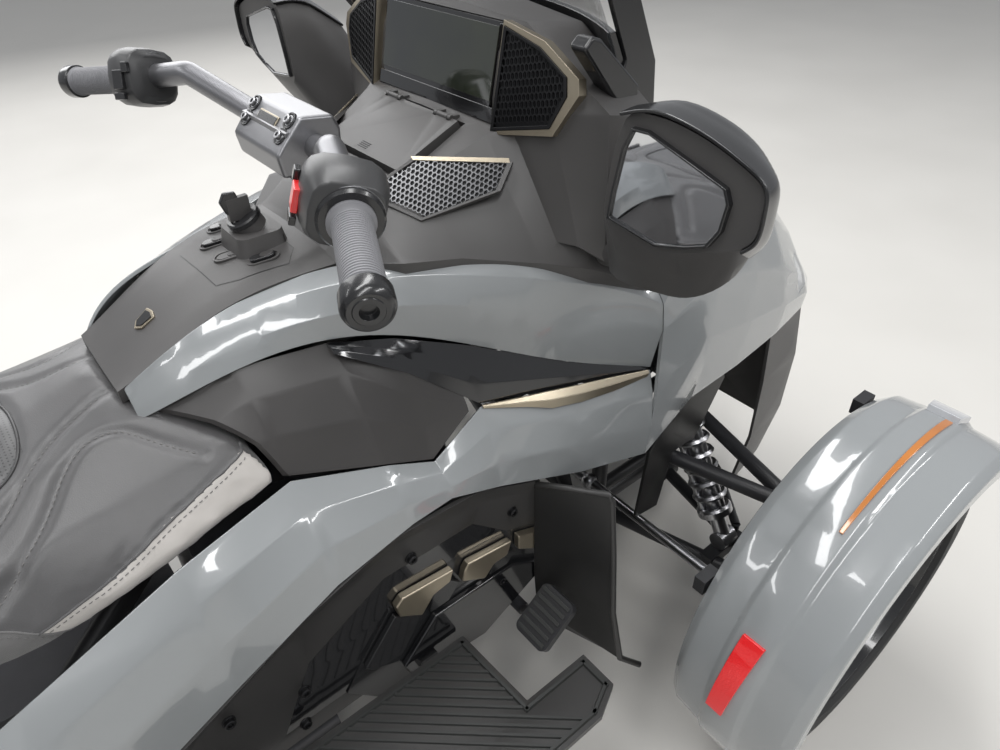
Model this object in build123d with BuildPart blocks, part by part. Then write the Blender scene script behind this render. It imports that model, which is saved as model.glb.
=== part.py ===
from build123d import *
import math
import os

os.makedirs("parts", exist_ok=True)

# Driving sizes in millimetres. X runs forward, Y to the rider's left, Z up, the ground is at zero.
LENGTH = 2833.0
WIDTH = 1554.0
HEIGHT = 1464.0
FRONT_AXLE_X = 946.0
REAR_AXLE_X = -763.0
FRONT_WHEEL_Y = 660.0
FRONT_TYRE_R = 281.0
FRONT_TYRE_W = 165.0
REAR_TYRE_R = 303.0
REAR_TYRE_W = 225.0
BEAD_R = 191.0
FLANGE_R = 206.0
SKIN = 6.0
TRIM = 3.0
SEAT_GAP = 0.3
MOVE_GAP = 6.0
PIN_PLAY = 0.05

NOSE_X = LENGTH / 2
TAIL_X = -LENGTH / 2
FENDER_Y = WIDTH / 2

# Steering geometry: the handlebar column leans back, each kingpin leans in and back.
CLAMP_POINT = Vector(394.0, 0.0, 1017.0)
COLUMN_FOOT = Vector(580.0, 0.0, 729.0)
COLUMN_R = 20.0
LOWER_BALL = Vector(952.0, 590.0, 172.0)
UPPER_BALL = Vector(934.0, 560.0, 405.0)
BALL_PIN_R = 12.0
RACK_X = 806.0
RACK_Z = 275.0
STEER_ARM_Y = 545.0

HUB = Vector(FRONT_AXLE_X, FRONT_WHEEL_Y, FRONT_TYRE_R)
REAR_HUB = Vector(REAR_AXLE_X, 0.0, REAR_TYRE_R)


def middle(limits):
    """Halfway between two limits."""
    return (limits[0] + limits[1]) / 2


def block(x, y, z, mode=Mode.ADD):
    """Box between two limits along each axis, in the sub-part being built."""
    with Locations((middle(x), middle(y), middle(z))):
        Box(x[1] - x[0], y[1] - y[0], z[1] - z[0], mode=mode)


def rod(start, end, radius, mode=Mode.ADD):
    """Round bar from one point to another, in the sub-part being built."""
    run = Vector(*end) - Vector(*start)
    with Locations(Plane(origin=Vector(*start), z_dir=run)):
        Cylinder(radius, run.length, align=(Align.CENTER, Align.CENTER, Align.MIN), mode=mode)


def tube(points, radius, bend):
    """Round bar along straight runs whose corners are rounded to the bend radius."""
    with BuildPart() as bar:
        with BuildLine() as path:
            FilletPolyline(*points, radius=bend)
        with BuildSketch(Plane(origin=path.line @ 0, z_dir=path.line % 0)):
            Circle(radius)
        sweep()
    return bar.part


def inset_edge(edge, wall):
    """The open outline, moved towards the inside of the body by the wall."""
    inner = []
    for index, (y, z) in enumerate(edge):
        ahead = edge[min(index + 1, len(edge) - 1)]
        behind = edge[max(index - 1, 0)]
        one = unit(y - behind[0], z - behind[1]) if index > 0 else None
        two = unit(ahead[0] - y, ahead[1] - z) if index < len(edge) - 1 else None
        one = one or two
        two = two or one
        normal = unit(-(one[1] + two[1]), one[0] + two[0])
        slant = max(0.5, normal[0] * -one[1] + normal[1] * one[0])
        inner.append((y - normal[0] * wall / slant, z - normal[1] * wall / slant))
    return inner


def unit(a, b):
    """The direction of a plane vector."""
    size = math.hypot(a, b)
    return a / size, b / size


def skin(stations, wall, ruled=False):
    """Moulded panel through stations, each an x and its outer edge of (y, z) from top to bottom."""
    with BuildPart() as panel:
        for x, edge in stations:
            with BuildSketch(Plane.YZ.offset(x)):
                with BuildLine():
                    Polyline(*edge, *reversed(inset_edge(edge, wall)), close=True)
                make_face()
        loft(ruled=ruled)
    return panel.part


def solid_through(stations, ruled=False):
    """Closed body through stations, each an x and its whole outline of (y, z)."""
    with BuildPart() as body:
        for x, outline in stations:
            with BuildSketch(Plane.YZ.offset(x)):
                with BuildLine():
                    Polyline(*outline, close=True)
                make_face()
        loft(ruled=ruled)
    return body.part


def both_sides(half):
    """The whole outline from its left half, listed from the top middle to the bottom corner."""
    return half + [(-y, z) for y, z in reversed(half[1:])]


def plate_xz(outline, y):
    """Flat plate with its outline in (x, z), between two limits of y."""
    with BuildPart() as plate:
        with BuildSketch(Plane.XZ.offset(-y[1])):
            with BuildLine():
                Polyline(*outline, close=True)
            make_face()
        extrude(amount=y[1] - y[0])
    return plate.part


def plate_xy(outline, z):
    """Flat plate with its outline in (x, y), between two limits of z."""
    with BuildPart() as plate:
        with BuildSketch(Plane.XY.offset(z[0])):
            with BuildLine():
                Polyline(*outline, close=True)
            make_face()
        extrude(amount=z[1] - z[0])
    return plate.part


def ring_about(centre, outline, start=0.0, arc=360.0):
    """Outline of (radius, y) turned about a wheel's axle, the start angle up from forward."""
    angle = math.radians(start)
    radial = Vector(math.cos(angle), 0, math.sin(angle))
    face = Plane(origin=(centre.X, 0, centre.Z), x_dir=radial, z_dir=radial.cross(Vector(0, 1, 0)))
    with BuildPart() as ring:
        with BuildSketch(face):
            with BuildLine():
                Polyline(*outline, close=True)
            make_face()
        revolve(axis=Axis((centre.X, 0, centre.Z), (0, -1, 0)), revolution_arc=arc)
    return ring.part


ACROSS = Vector(0.0, 1.0, 0.0)
LENGTHWAYS = Vector(1.0, 0.0, 0.0)
HINGE_HALF = 12.0
EAR_GAP = 1.0
EAR_THICK = 6.0


def hinge_barrel(centre, way, radius, mode=Mode.ADD):
    """Moving half of a hinge: a barrel on the hinge line, its bore cut by hinge_bore."""
    rod(centre - way * HINGE_HALF, centre + way * HINGE_HALF, radius, mode)


def hinge_bore(centre, way, radius):
    """Bore of the barrel for its pin, and room in the moving piece for the two ears."""
    reach = way * (HINGE_HALF + 1)
    rod(centre - reach, centre + reach, radius / 2 + PIN_PLAY, Mode.SUBTRACT)
    for side in (-1, 1):
        near = centre + way * side * (HINGE_HALF + 0.01)
        rod(near, near + way * side * (EAR_THICK + 2 * EAR_GAP), radius + 1.5, Mode.SUBTRACT)


def hinge_ears(centre, way, radius):
    """Fixed half of a hinge: two ears and the pin between them."""
    for side in (-1, 1):
        near = centre + way * side * (HINGE_HALF + EAR_GAP)
        rod(near, near + way * side * EAR_THICK, radius)
    rod(centre - way * (HINGE_HALF + EAR_GAP + 1), centre + way * (HINGE_HALF + EAR_GAP + 1), radius / 2)


def ear_spans(middle_of_hinge):
    """The limits of the two ears along the hinge line."""
    near = HINGE_HALF + EAR_GAP
    return [(middle_of_hinge - near - EAR_THICK, middle_of_hinge - near),
            (middle_of_hinge + near, middle_of_hinge + near + EAR_THICK)]


def along(start, end, share):
    """The point at a share of the way from one point to another."""
    return start + (end - start) * share


# Front and rear wheels: a rim with its spokes, a tyre and a brake disc.
SPOKES = 10
SPOKE_W = 20.0
SPOKE_FOOT_W = 34.0
SPOKE_DEPTH = 18.0
SPOKE_IN = 12.0
SPOKE_END_R = BEAD_R - 19.0
SPINDLE_R = 18.0
FRONT_HUB_R = 44.0
FRONT_DISC_R = 135.0
DISC_THICK = 6.0
BEAD_SEAT = 64.0
REAR_BEAD_SEAT = 97.0


def rim_outline(half, y):
    """Rim section of (radius, y) about the wheel's middle plane."""
    outer = [
        (FLANGE_R, half + 10),
        (FLANGE_R, half + 4),
        (BEAD_R, half),
        (BEAD_R - 3, half - 14),
        (BEAD_R - 19, half - 34),
    ]
    inner = [
        (BEAD_R - 26, half - 36),
        (BEAD_R - 11, half - 14),
        (BEAD_R - 7, half + 10),
    ]
    section = outer + [(r, -w) for r, w in reversed(outer)]
    section += [(r, -w) for r, w in reversed(inner)] + inner
    return [(r, y + w) for r, w in section]


def tyre_outline(radius, width, seat, y):
    """Tyre section of (radius, y) from bead to bead over the flanges."""
    half = width / 2
    side = [
        (BEAD_R + SEAT_GAP, seat - 1),
        (FLANGE_R + 1, seat + 3),
        (FLANGE_R + 8, half - 1),
        (FLANGE_R + 28, half),
        (radius - 20, half - 3),
        (radius - 6, half - 16),
        (radius, half - 38),
    ]
    section = side + [(r, -w) for r, w in reversed(side)]
    return [(r, y + w) for r, w in section]


def wheel(centre, seat, radius, width, hub_r, hub_in, hub_out, bore_r):
    """Rim and tyre of one wheel; the hub runs from hub_in to hub_out about the middle plane."""
    barrel = ring_about(centre, rim_outline(seat, centre.Y))
    rubber = ring_about(centre, tyre_outline(radius, width, seat, centre.Y))
    side = 1 if centre.Y >= 0 else -1
    low = centre.Y + side * hub_in
    high = centre.Y + side * hub_out
    front = centre.Y + side * (seat - SPOKE_IN)
    face = Plane(origin=(centre.X, front, centre.Z), x_dir=(1, 0, 0), z_dir=(0, side, 0))
    with BuildPart() as rim:
        add(barrel)
        rod((centre.X, low, centre.Z), (centre.X, high, centre.Z), hub_r)
        with BuildSketch(face):
            with PolarLocations(0, SPOKES):
                with BuildLine():
                    Polyline((hub_r - 8, SPOKE_W / 2), (SPOKE_END_R - 24, SPOKE_W / 2),
                             (SPOKE_END_R, SPOKE_FOOT_W / 2), (SPOKE_END_R, -SPOKE_FOOT_W / 2),
                             (SPOKE_END_R - 24, -SPOKE_W / 2), (hub_r - 8, -SPOKE_W / 2),
                             close=True)
                make_face()
        extrude(amount=-SPOKE_DEPTH)
        rod((centre.X, low - side, centre.Z), (centre.X, high - side * 14, centre.Z), bore_r, Mode.SUBTRACT)
    return rim.part, rubber


def disc(centre, inner_r, outer_r, y):
    """Flat brake disc with a ring of drilled holes, its near face at y."""
    with BuildPart() as plate:
        with BuildSketch(Plane(origin=(centre.X, y, centre.Z), x_dir=(1, 0, 0), z_dir=(0, 1, 0))):
            Circle(outer_r)
            Circle(inner_r, mode=Mode.SUBTRACT)
            with PolarLocations((outer_r + inner_r) / 2 + 22, 18):
                Circle(4, mode=Mode.SUBTRACT)
        extrude(amount=DISC_THICK)
    return plate.part


HUB_IN = -30.0
HUB_OUT = 52.0
DISC_Y = FRONT_WHEEL_Y + HUB_IN
REAR_HUB_HALF = 90.0
REAR_AXLE_R = 14.0
REAR_DRIVE_Y = 112.0
PULLEY_R = 118.0
BELT_W = 26.0

# The left front wheel is made first, and the right one is its mirror image.
front_rim, front_tyre = wheel(
    HUB, BEAD_SEAT, FRONT_TYRE_R, FRONT_TYRE_W, FRONT_HUB_R, HUB_IN, HUB_OUT, SPINDLE_R + PIN_PLAY
)
front_disc = disc(HUB, FRONT_HUB_R - 6, FRONT_DISC_R, DISC_Y)
with BuildPart() as front_rim_left:
    add(front_rim)
    add(front_disc)
with BuildPart() as front_rim_right:
    add(front_rim_left.part.mirror(Plane.XZ))
with BuildPart() as front_tyre_left:
    add(front_tyre)
with BuildPart() as front_tyre_right:
    add(front_tyre.mirror(Plane.XZ))

# Rear wheel with the brake disc on its right and the belt pulley on its left.
rim_part, tyre_part = wheel(
    REAR_HUB, REAR_BEAD_SEAT, REAR_TYRE_R, REAR_TYRE_W, 52.0,
    -REAR_HUB_HALF, REAR_HUB_HALF, REAR_AXLE_R + PIN_PLAY
)
with BuildPart() as rear_rim:
    add(rim_part)
    rod((REAR_HUB.X, -REAR_HUB_HALF + 2, REAR_HUB.Z), (REAR_HUB.X, -REAR_DRIVE_Y, REAR_HUB.Z), 46.0)
    rod((REAR_HUB.X, -REAR_DRIVE_Y, REAR_HUB.Z), (REAR_HUB.X, -REAR_DRIVE_Y - DISC_THICK, REAR_HUB.Z), 132.0)
    rod((REAR_HUB.X, REAR_HUB_HALF - 2, REAR_HUB.Z), (REAR_HUB.X, REAR_DRIVE_Y + BELT_W, REAR_HUB.Z), 46.0)
    rod((REAR_HUB.X, REAR_DRIVE_Y, REAR_HUB.Z), (REAR_HUB.X, REAR_DRIVE_Y + BELT_W, REAR_HUB.Z), PULLEY_R)
    rod((REAR_HUB.X, -REAR_DRIVE_Y - 10, REAR_HUB.Z), (REAR_HUB.X, REAR_DRIVE_Y + BELT_W + 2, REAR_HUB.Z),
        REAR_AXLE_R + PIN_PLAY, Mode.SUBTRACT)
with BuildPart() as rear_tyre:
    add(tyre_part)
for name, piece in (("front_rim_left", front_rim_left), ("front_rim_right", front_rim_right),
                    ("front_tyre_left", front_tyre_left), ("front_tyre_right", front_tyre_right),
                    ("rear_rim", rear_rim), ("rear_tyre", rear_tyre)):
    piece.part.label = name
    export_step(piece.part, f"parts/{name}.step")


# Knuckles: an upright on the kingpin axis, a spindle, a steering arm, a caliper and the fender stay.
EYE_HALF = 14.0
UPRIGHT_GAP = 1.0
KINGPIN = (UPPER_BALL - LOWER_BALL).normalized()
UPRIGHT_LOW = LOWER_BALL + KINGPIN * (EYE_HALF + UPRIGHT_GAP)
UPRIGHT_HIGH = UPPER_BALL - KINGPIN * (EYE_HALF + UPRIGHT_GAP)
HUB_SHARE = (FRONT_TYRE_R - LOWER_BALL.Z) / (UPPER_BALL.Z - LOWER_BALL.Z)
SPINDLE_ROOT = along(LOWER_BALL, UPPER_BALL, HUB_SHARE)
ARM_ROOT = along(LOWER_BALL, UPPER_BALL, 0.33)
ARM_TIP = Vector(RACK_X, STEER_ARM_Y, 238.0)
ROD_EYE_GAP = 13.5
CALIPER_IN = FRONT_DISC_R - 42.0
CALIPER_OUT = FRONT_DISC_R + 18.0
FENDER_R = 338.0
FENDER_START = 62.0
FENDER_ARC = 128.0
FENDER_WALL = 5.0
FENDER_SIDE_Y = FENDER_Y - 206.0
STAY_R = 8.0
STAY_Y = FENDER_SIDE_Y - 15.0
STAYS = [
    [(943, 572, 300), (745, STAY_Y, 350), (672, STAY_Y, 440)],
    [(943, 572, 300), (1105, STAY_Y, 380), (1040, STAY_Y, 583)],
]

with BuildPart() as knuckle_left:
    rod(UPRIGHT_LOW, UPRIGHT_HIGH, 24.0)
    rod(LOWER_BALL - KINGPIN * (EYE_HALF + 4), UPRIGHT_LOW + KINGPIN * 2, BALL_PIN_R)
    rod(UPRIGHT_HIGH - KINGPIN * 2, UPPER_BALL + KINGPIN * (EYE_HALF + 4), BALL_PIN_R)
    rod((HUB.X, SPINDLE_ROOT.Y, HUB.Z), (HUB.X, DISC_Y - 4, HUB.Z), 34.0)
    rod((HUB.X, SPINDLE_ROOT.Y, HUB.Z), (HUB.X, FRONT_WHEEL_Y + HUB_OUT - 18, HUB.Z), SPINDLE_R)
    rod(ARM_ROOT, ARM_TIP, 11.0)
    rod(ARM_TIP - Vector(0, 0, 12), ARM_TIP + Vector(0, 0, 12), 17.0)
    with BuildSketch(Plane(origin=(HUB.X, DISC_Y - 24, HUB.Z), x_dir=(1, 0, 0), z_dir=(0, 1, 0))):
        with BuildLine():
            CenterArc((0, 0), CALIPER_OUT, 148, 46)
            Line((CALIPER_OUT * math.cos(math.radians(194)), CALIPER_OUT * math.sin(math.radians(194))),
                 (CALIPER_IN * math.cos(math.radians(194)), CALIPER_IN * math.sin(math.radians(194))))
            CenterArc((0, 0), CALIPER_IN, 148, 46)
            Line((CALIPER_IN * math.cos(math.radians(148)), CALIPER_IN * math.sin(math.radians(148))),
                 (CALIPER_OUT * math.cos(math.radians(148)), CALIPER_OUT * math.sin(math.radians(148))))
        make_face()
    extrude(amount=56)
    add(ring_about(HUB, [(CALIPER_IN - 20, DISC_Y - 5), (FRONT_DISC_R + 5, DISC_Y - 5),
                         (FRONT_DISC_R + 5, DISC_Y + DISC_THICK + 5),
                         (CALIPER_IN - 20, DISC_Y + DISC_THICK + 5)]),
        mode=Mode.SUBTRACT)
    rod((HUB.X, SPINDLE_ROOT.Y - 4, HUB.Z), (HUB.X - 118, DISC_Y - 14, HUB.Z), 12.0)
    for route in STAYS:
        for start, end in zip(route, route[1:]):
            rod(start, end, STAY_R)
        with Locations(*route[1:]):
            Sphere(STAY_R)
        block((route[-1][0] - 18, route[-1][0] + 18), (STAY_Y - 4, FENDER_SIDE_Y - SEAT_GAP),
              (route[-1][2] - 14, route[-1][2] + 14))
knuckle_left.part.label = "knuckle_left"
export_step(knuckle_left.part, "parts/knuckle_left.step")
with BuildPart() as knuckle_right:
    add(knuckle_left.part.mirror(Plane.XZ))
knuckle_right.part.label = "knuckle_right"
export_step(knuckle_right.part, "parts/knuckle_right.step")

# Fenders: a ring of skin over each front tyre with a raised middle rib, and its stay to the knuckle.
fender_section = [
    (FENDER_R - 26, FENDER_Y),
    (FENDER_R - 8, FENDER_Y - 2),
    (FENDER_R + 4, FENDER_Y - 16),
    (FENDER_R + 8, FENDER_Y - 72),
    (FENDER_R + 14, FENDER_Y - 80),
    (FENDER_R + 14, FENDER_Y - 132),
    (FENDER_R + 8, FENDER_Y - 140),
    (FENDER_R + 4, FENDER_Y - 186),
    (FENDER_R - 10, FENDER_Y - 204),
    (FENDER_R - 26, FENDER_Y - 206),
]
fender_inner = [
    (FENDER_R - 26, FENDER_Y - 206 + FENDER_WALL),
    (FENDER_R - 12, FENDER_Y - 204 + FENDER_WALL),
    (FENDER_R - 1, FENDER_Y - 184),
    (FENDER_R + 3, FENDER_Y - 137),
    (FENDER_R + 9, FENDER_Y - 130),
    (FENDER_R + 9, FENDER_Y - 82),
    (FENDER_R + 3, FENDER_Y - 75),
    (FENDER_R - 1, FENDER_Y - 20),
    (FENDER_R - 12, FENDER_Y - 7),
    (FENDER_R - 26, FENDER_Y - FENDER_WALL),
]
with BuildPart() as fender_left:
    add(ring_about(HUB, fender_section + fender_inner, FENDER_START, FENDER_ARC))
fender_left.part.label = "fender_left"
export_step(fender_left.part, "parts/fender_left.step")
with BuildPart() as fender_right:
    add(fender_left.part.mirror(Plane.XZ))
fender_right.part.label = "fender_right"
export_step(fender_right.part, "parts/fender_right.step")

# Front suspension: upper and lower wishbones with the anti-roll bar, coil-over dampers and tie rods.
WISHBONE_R = 14.0
INNER_Y = 205.0
INNER_FRONT_X = 1045.0
INNER_REAR_X = 850.0
LOWER_INNER_Z = 165.0
UPPER_INNER_Z = 392.0
EYE_R = 25.0


def wishbone(ball, inner_z):
    """One wishbone, from its ball eye to its two pivot bushes on the frame."""
    with BuildPart() as arm:
        for x in (INNER_FRONT_X, INNER_REAR_X):
            foot = Vector(x, INNER_Y, inner_z)
            rod(foot, ball, WISHBONE_R)
            rod((x - 22, INNER_Y, inner_z), (x + 22, INNER_Y, inner_z), 20.0)
        rod(ball - KINGPIN * EYE_HALF, ball + KINGPIN * EYE_HALF, EYE_R)
        rod(ball - KINGPIN * 40, ball - KINGPIN * EYE_HALF, EYE_R + 12, Mode.SUBTRACT)
        rod(ball + KINGPIN * EYE_HALF, ball + KINGPIN * 40, EYE_R + 12, Mode.SUBTRACT)
        rod(ball - KINGPIN * 40, ball + KINGPIN * 40, BALL_PIN_R + PIN_PLAY, Mode.SUBTRACT)
    return arm.part


BAR_X = 1085.0
BAR_Z = 224.0
ROLL_BAR_R = 9.0
BAR_END = Vector(990.0, 430.0, 210.0)
roll_bar = tube([BAR_END, (BAR_X, 305, BAR_Z), (BAR_X, -305, BAR_Z), (BAR_END.X, -BAR_END.Y, BAR_END.Z)],
                ROLL_BAR_R, 40.0)
lower_arm = wishbone(LOWER_BALL, LOWER_INNER_Z)
upper_arm = wishbone(UPPER_BALL, UPPER_INNER_Z)
SHOCK_FOOT = Vector(950.0, 430.0, 205.0)
SHOCK_HEAD = Vector(946.0, 250.0, 520.0)
with BuildPart() as suspension_arms:
    add(lower_arm)
    add(upper_arm)
    block((SHOCK_FOOT.X - 52, SHOCK_FOOT.X + 54), (SHOCK_FOOT.Y - 14, SHOCK_FOOT.Y + 14), (160, 186))
    rod(BAR_END + Vector(0, 0, 4), (BAR_END.X, BAR_END.Y, LOWER_INNER_Z + 4), 7.0)
    mirror(about=Plane.XZ)
    add(roll_bar)
suspension_arms.part.label = "suspension_arms"
export_step(suspension_arms.part, "parts/suspension_arms.step")

COIL_R = 34.0
COIL_WIRE_R = 6.0
COIL_TURNS = 7
CROSS_R = 20.0
HEAD_BAR_R = 12.0
DAMPER_FOOT = Vector(-425.0, 0.0, 300.0)
DAMPER_HEAD = Vector(-250.0, 0.0, 604.0)
shock_run = (SHOCK_HEAD - SHOCK_FOOT).normalized()
damper_run = (DAMPER_HEAD - DAMPER_FOOT).normalized()
with BuildPart() as coil_turn:
    with BuildSketch(Plane.XZ):
        with Locations((COIL_R - COIL_WIRE_R, 0)):
            RegularPolygon(COIL_WIRE_R, 6)
    revolve(axis=Axis.Z)
with BuildPart() as shocks:
    rod(SHOCK_FOOT, SHOCK_HEAD, 16.0)
    for turn in range(COIL_TURNS + 2):
        seat_at = SHOCK_FOOT + shock_run * (70 + turn * 30)
        with Locations(Plane(origin=seat_at, z_dir=shock_run)):
            add(coil_turn.part)
    rod(SHOCK_FOOT + shock_run * 58, SHOCK_FOOT + shock_run * 70, COIL_R)
    rod(SHOCK_FOOT + shock_run * 310, SHOCK_FOOT + shock_run * 324, COIL_R)
    for turn in range(3):
        angle = math.radians(120 * turn)
        side_way = Plane(origin=SHOCK_FOOT, z_dir=shock_run)
        edge = side_way.x_dir * math.cos(angle) * 22 + side_way.y_dir * math.sin(angle) * 22
        rod(SHOCK_FOOT + shock_run * 60 + edge, SHOCK_FOOT + shock_run * 320 + edge, 7.5)
    rod(SHOCK_FOOT - Vector(20, 0, 0), SHOCK_FOOT + Vector(20, 0, 0), 18.5)
    rod(SHOCK_HEAD - Vector(16, 0, 0), SHOCK_HEAD + Vector(16, 0, 0), 18.0)
    mirror(about=Plane.XZ)
    rod(DAMPER_FOOT + damper_run * (CROSS_R + SEAT_GAP),
        DAMPER_HEAD - damper_run * (HEAD_BAR_R + SEAT_GAP), 15.0)
    rod(DAMPER_FOOT + damper_run * 50, DAMPER_HEAD - damper_run * 70, 30.0)
shocks.part.label = "shocks"
export_step(shocks.part, "parts/shocks.step")

ROD_END_Z = ARM_TIP.Z + 12 + ROD_EYE_GAP
RACK_BAR_R = 12.0
with BuildPart() as tie_rods:
    rod((RACK_X, -190, RACK_Z), (RACK_X, 190, RACK_Z), RACK_BAR_R)
    for side in (-1, 1):
        rod((RACK_X, side * 186, RACK_Z), (RACK_X, side * (STEER_ARM_Y - 4), ROD_END_Z + 11), 9.0)
        rod((RACK_X, side * STEER_ARM_Y, ROD_END_Z), (RACK_X, side * STEER_ARM_Y, ROD_END_Z + 22), 15.0)
        with Locations((RACK_X, side * 192, RACK_Z)):
            Sphere(16)
tie_rods.part.label = "tie_rods"
export_step(tie_rods.part, "parts/tie_rods.step")


# Main frame: lower rails, front box for the wishbones, spine, head tube and seat rails.
RAIL_R = 20.0
RAIL_Y = 150.0
RAIL_Z = 140.0
FRAME_NEAR_X = INNER_REAR_X
FRAME_FAR_X = INNER_FRONT_X
TOWER_Y = 180.0
TOWER_TOP_Z = 548.0
SPINE_Z = 622.0
SEAT_RAIL_Y = 118.0
SWING_X = -345.0
SWING_Z = 300.0
SWING_Y = 128.0
SWING_PIVOT_R = 20.0
RACK_HOUSE_Y = 98.0
RACK_R = 10.0
TUB_Z = 600.0
SEAT_LOW_Z = 645.0
SEAT_BARREL_R = 5.0
SEAT_HINGES = [Vector(x, 262.0, 705.0) for x in (-212, -145)]
CASE_LOW_Z = 884.0
PAD_LOW_Z = 940.0
with BuildPart() as frame:
    for side in (-1, 1):
        rod((1120, side * RAIL_Y, RAIL_Z), (-310, side * RAIL_Y, RAIL_Z), RAIL_R)
        rod((SWING_X + 60, side * 160, RAIL_Z), (SWING_X + 83, side * 160, SWING_Z + 50), 18.0)
        rod((SWING_X + 83, side * 160, SWING_Z + 40), (60, side * SEAT_RAIL_Y, SPINE_Z - 12), 18.0)
        rod((60, side * SEAT_RAIL_Y, SPINE_Z - 12), (-1180, side * 150, 640), 14.0)
        rod((SWING_X + 45, side * 160, SWING_Z + 72), (-860, side * 158, 632), 12.0)
        lug = sorted((side * (SWING_Y + 14), side * SWING_Y))
        block((SWING_X - 27, SWING_X + 90), lug, (SWING_Z - 30, SWING_Z + 30))
        ear = sorted((side * 164, side * SWING_Y))
        block((SWING_X + 45, SWING_X + 90), ear, (SWING_Z - 30, SWING_Z + 30))
        for x in (FRAME_NEAR_X, FRAME_FAR_X):
            rod((x, side * TOWER_Y, RAIL_Z), (x, side * TOWER_Y, UPPER_INNER_Z + 30), 16.0)
            rod((x, side * TOWER_Y, UPPER_INNER_Z + 26), (946, side * 222, TOWER_TOP_Z + 4), 14.0)
        rod((1061, side * TOWER_Y, UPPER_INNER_Z + 30), (834, side * TOWER_Y, UPPER_INNER_Z + 30), 14.0)
        rod((1061, side * TOWER_Y, 215), (834, side * TOWER_Y, 215), 14.0)
        rod((834, side * TOWER_Y, UPPER_INNER_Z + 30), (560, side * 60, SPINE_Z + 40), 18.0)
    for x in (FRAME_NEAR_X, FRAME_FAR_X):
        for z in (RAIL_Z, UPPER_INNER_Z + 30):
            rod((x, -TOWER_Y, z), (x, TOWER_Y, z), 14.0)
    rod((1105, -RAIL_Y, RAIL_Z), (1105, RAIL_Y, RAIL_Z), 18.0)
    rod((-320, -RAIL_Y, RAIL_Z), (-320, RAIL_Y, RAIL_Z), 18.0)
    rod((-1150, -150, 639), (-1150, 150, 639), 14.0)
    block((40, 600), (-62, 62), (SPINE_Z - 30, SPINE_Z + 30))
    block((30, 70), (-132, 132), (SPINE_Z - 30, SPINE_Z + 6))
    rod(along(CLAMP_POINT, COLUMN_FOOT, 0.66), COLUMN_FOOT, 34.0)
    rod(along(CLAMP_POINT, COLUMN_FOOT, 0.97), (575, 0, 640), 30.0)
    rod(along(CLAMP_POINT, COLUMN_FOOT, 0.4), along(CLAMP_POINT, COLUMN_FOOT, 1.2),
        COLUMN_R + PIN_PLAY, Mode.SUBTRACT)
    rod((SWING_X, -200, SWING_Z), (SWING_X, 200, SWING_Z), SWING_PIVOT_R + PIN_PLAY, Mode.SUBTRACT)
    rod((DAMPER_HEAD.X, -SEAT_RAIL_Y - 6, DAMPER_HEAD.Z + 2),
        (DAMPER_HEAD.X, SEAT_RAIL_Y + 6, DAMPER_HEAD.Z + 2), HEAD_BAR_R + 2)
    rod((RACK_X, -RACK_HOUSE_Y, RACK_Z), (RACK_X, RACK_HOUSE_Y, RACK_Z), 22.0)
    rod((946, -222, TOWER_TOP_Z + 4), (946, 222, TOWER_TOP_Z + 4), 14.0)
    for side in (-1, 1):
        inner, outer = sorted((side * (RACK_HOUSE_Y - 14), side * (RACK_HOUSE_Y - 2)))
        add(plate_xz([(838, 134), (862, 134), (826, 286), (796, 290), (792, 262)], (inner, outer)))
        block((BAR_X - 14, BAR_X + 14), sorted((side * 136, side * 164)), (RAIL_Z + 8, BAR_Z + 14))
        block((934, 958), sorted((side * 80, side * 110)), (TOWER_TOP_Z + 4, TUB_Z - SEAT_GAP))
        block((-215, -185), sorted((side * 108, side * 138)), (SPINE_Z - 10, SEAT_LOW_Z - SEAT_GAP))
        rack_y = side * 151
        rod((-910, rack_y, 633), (-910, rack_y, CASE_LOW_Z - 12), RACK_R)
        rod((-1210, rack_y, 640), (-1210, rack_y, CASE_LOW_Z - 12), RACK_R)
        rod((-1180, rack_y, 640), (-1222, rack_y, 640), RACK_R)
        rack_z = CASE_LOW_Z - RACK_R - SEAT_GAP
        rod((-895, rack_y, rack_z), (-1300, rack_y, rack_z), RACK_R)
        rod((-910, rack_y, 866), (-820, side * 100, 876), 8.0)
        rod((-820, side * 100, 872), (-820, side * 100, PAD_LOW_Z - SEAT_GAP), 8.0)
    for pin in SEAT_HINGES:
        hinge_ears(pin, LENGTHWAYS, SEAT_BARREL_R)
        for span in ear_spans(pin.X):
            block(span, (pin.Y - 6, pin.Y), (SPINE_Z - 8, pin.Z))
            block(span, (SEAT_RAIL_Y, pin.Y), (SPINE_Z - 8, SPINE_Z + 2))
    rod((RACK_X, -200, RACK_Z), (RACK_X, 200, RACK_Z), RACK_BAR_R + SEAT_GAP, Mode.SUBTRACT)
    rod((BAR_X, -200, BAR_Z), (BAR_X, 200, BAR_Z), ROLL_BAR_R + SEAT_GAP, Mode.SUBTRACT)
    for side in (-1, 1):
        for x in (FRAME_NEAR_X, FRAME_FAR_X):
            for z in (LOWER_INNER_Z, UPPER_INNER_Z):
                rod((x - 40, side * INNER_Y, z), (x + 40, side * INNER_Y, z), 20.0 + SEAT_GAP, Mode.SUBTRACT)
frame.part.label = "frame"
export_step(frame.part, "parts/frame.step")

# Engine and gearbox: plain blocks at their real place, with the final drive sprocket's boss.
with BuildPart() as engine:
    block((84, 520), (-110, 110), (175, SPINE_Z - 30 - SEAT_GAP))
    block((90, 500), (-215, 215), (190, 520))
    block((-240, 60), (-108, 108), (175, 430))
    rod((-150, 108, 280), (-150, REAR_DRIVE_Y + BELT_W, 280), 44.0)
engine.part.label = "engine"
export_step(engine.part, "parts/engine.step")

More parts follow.
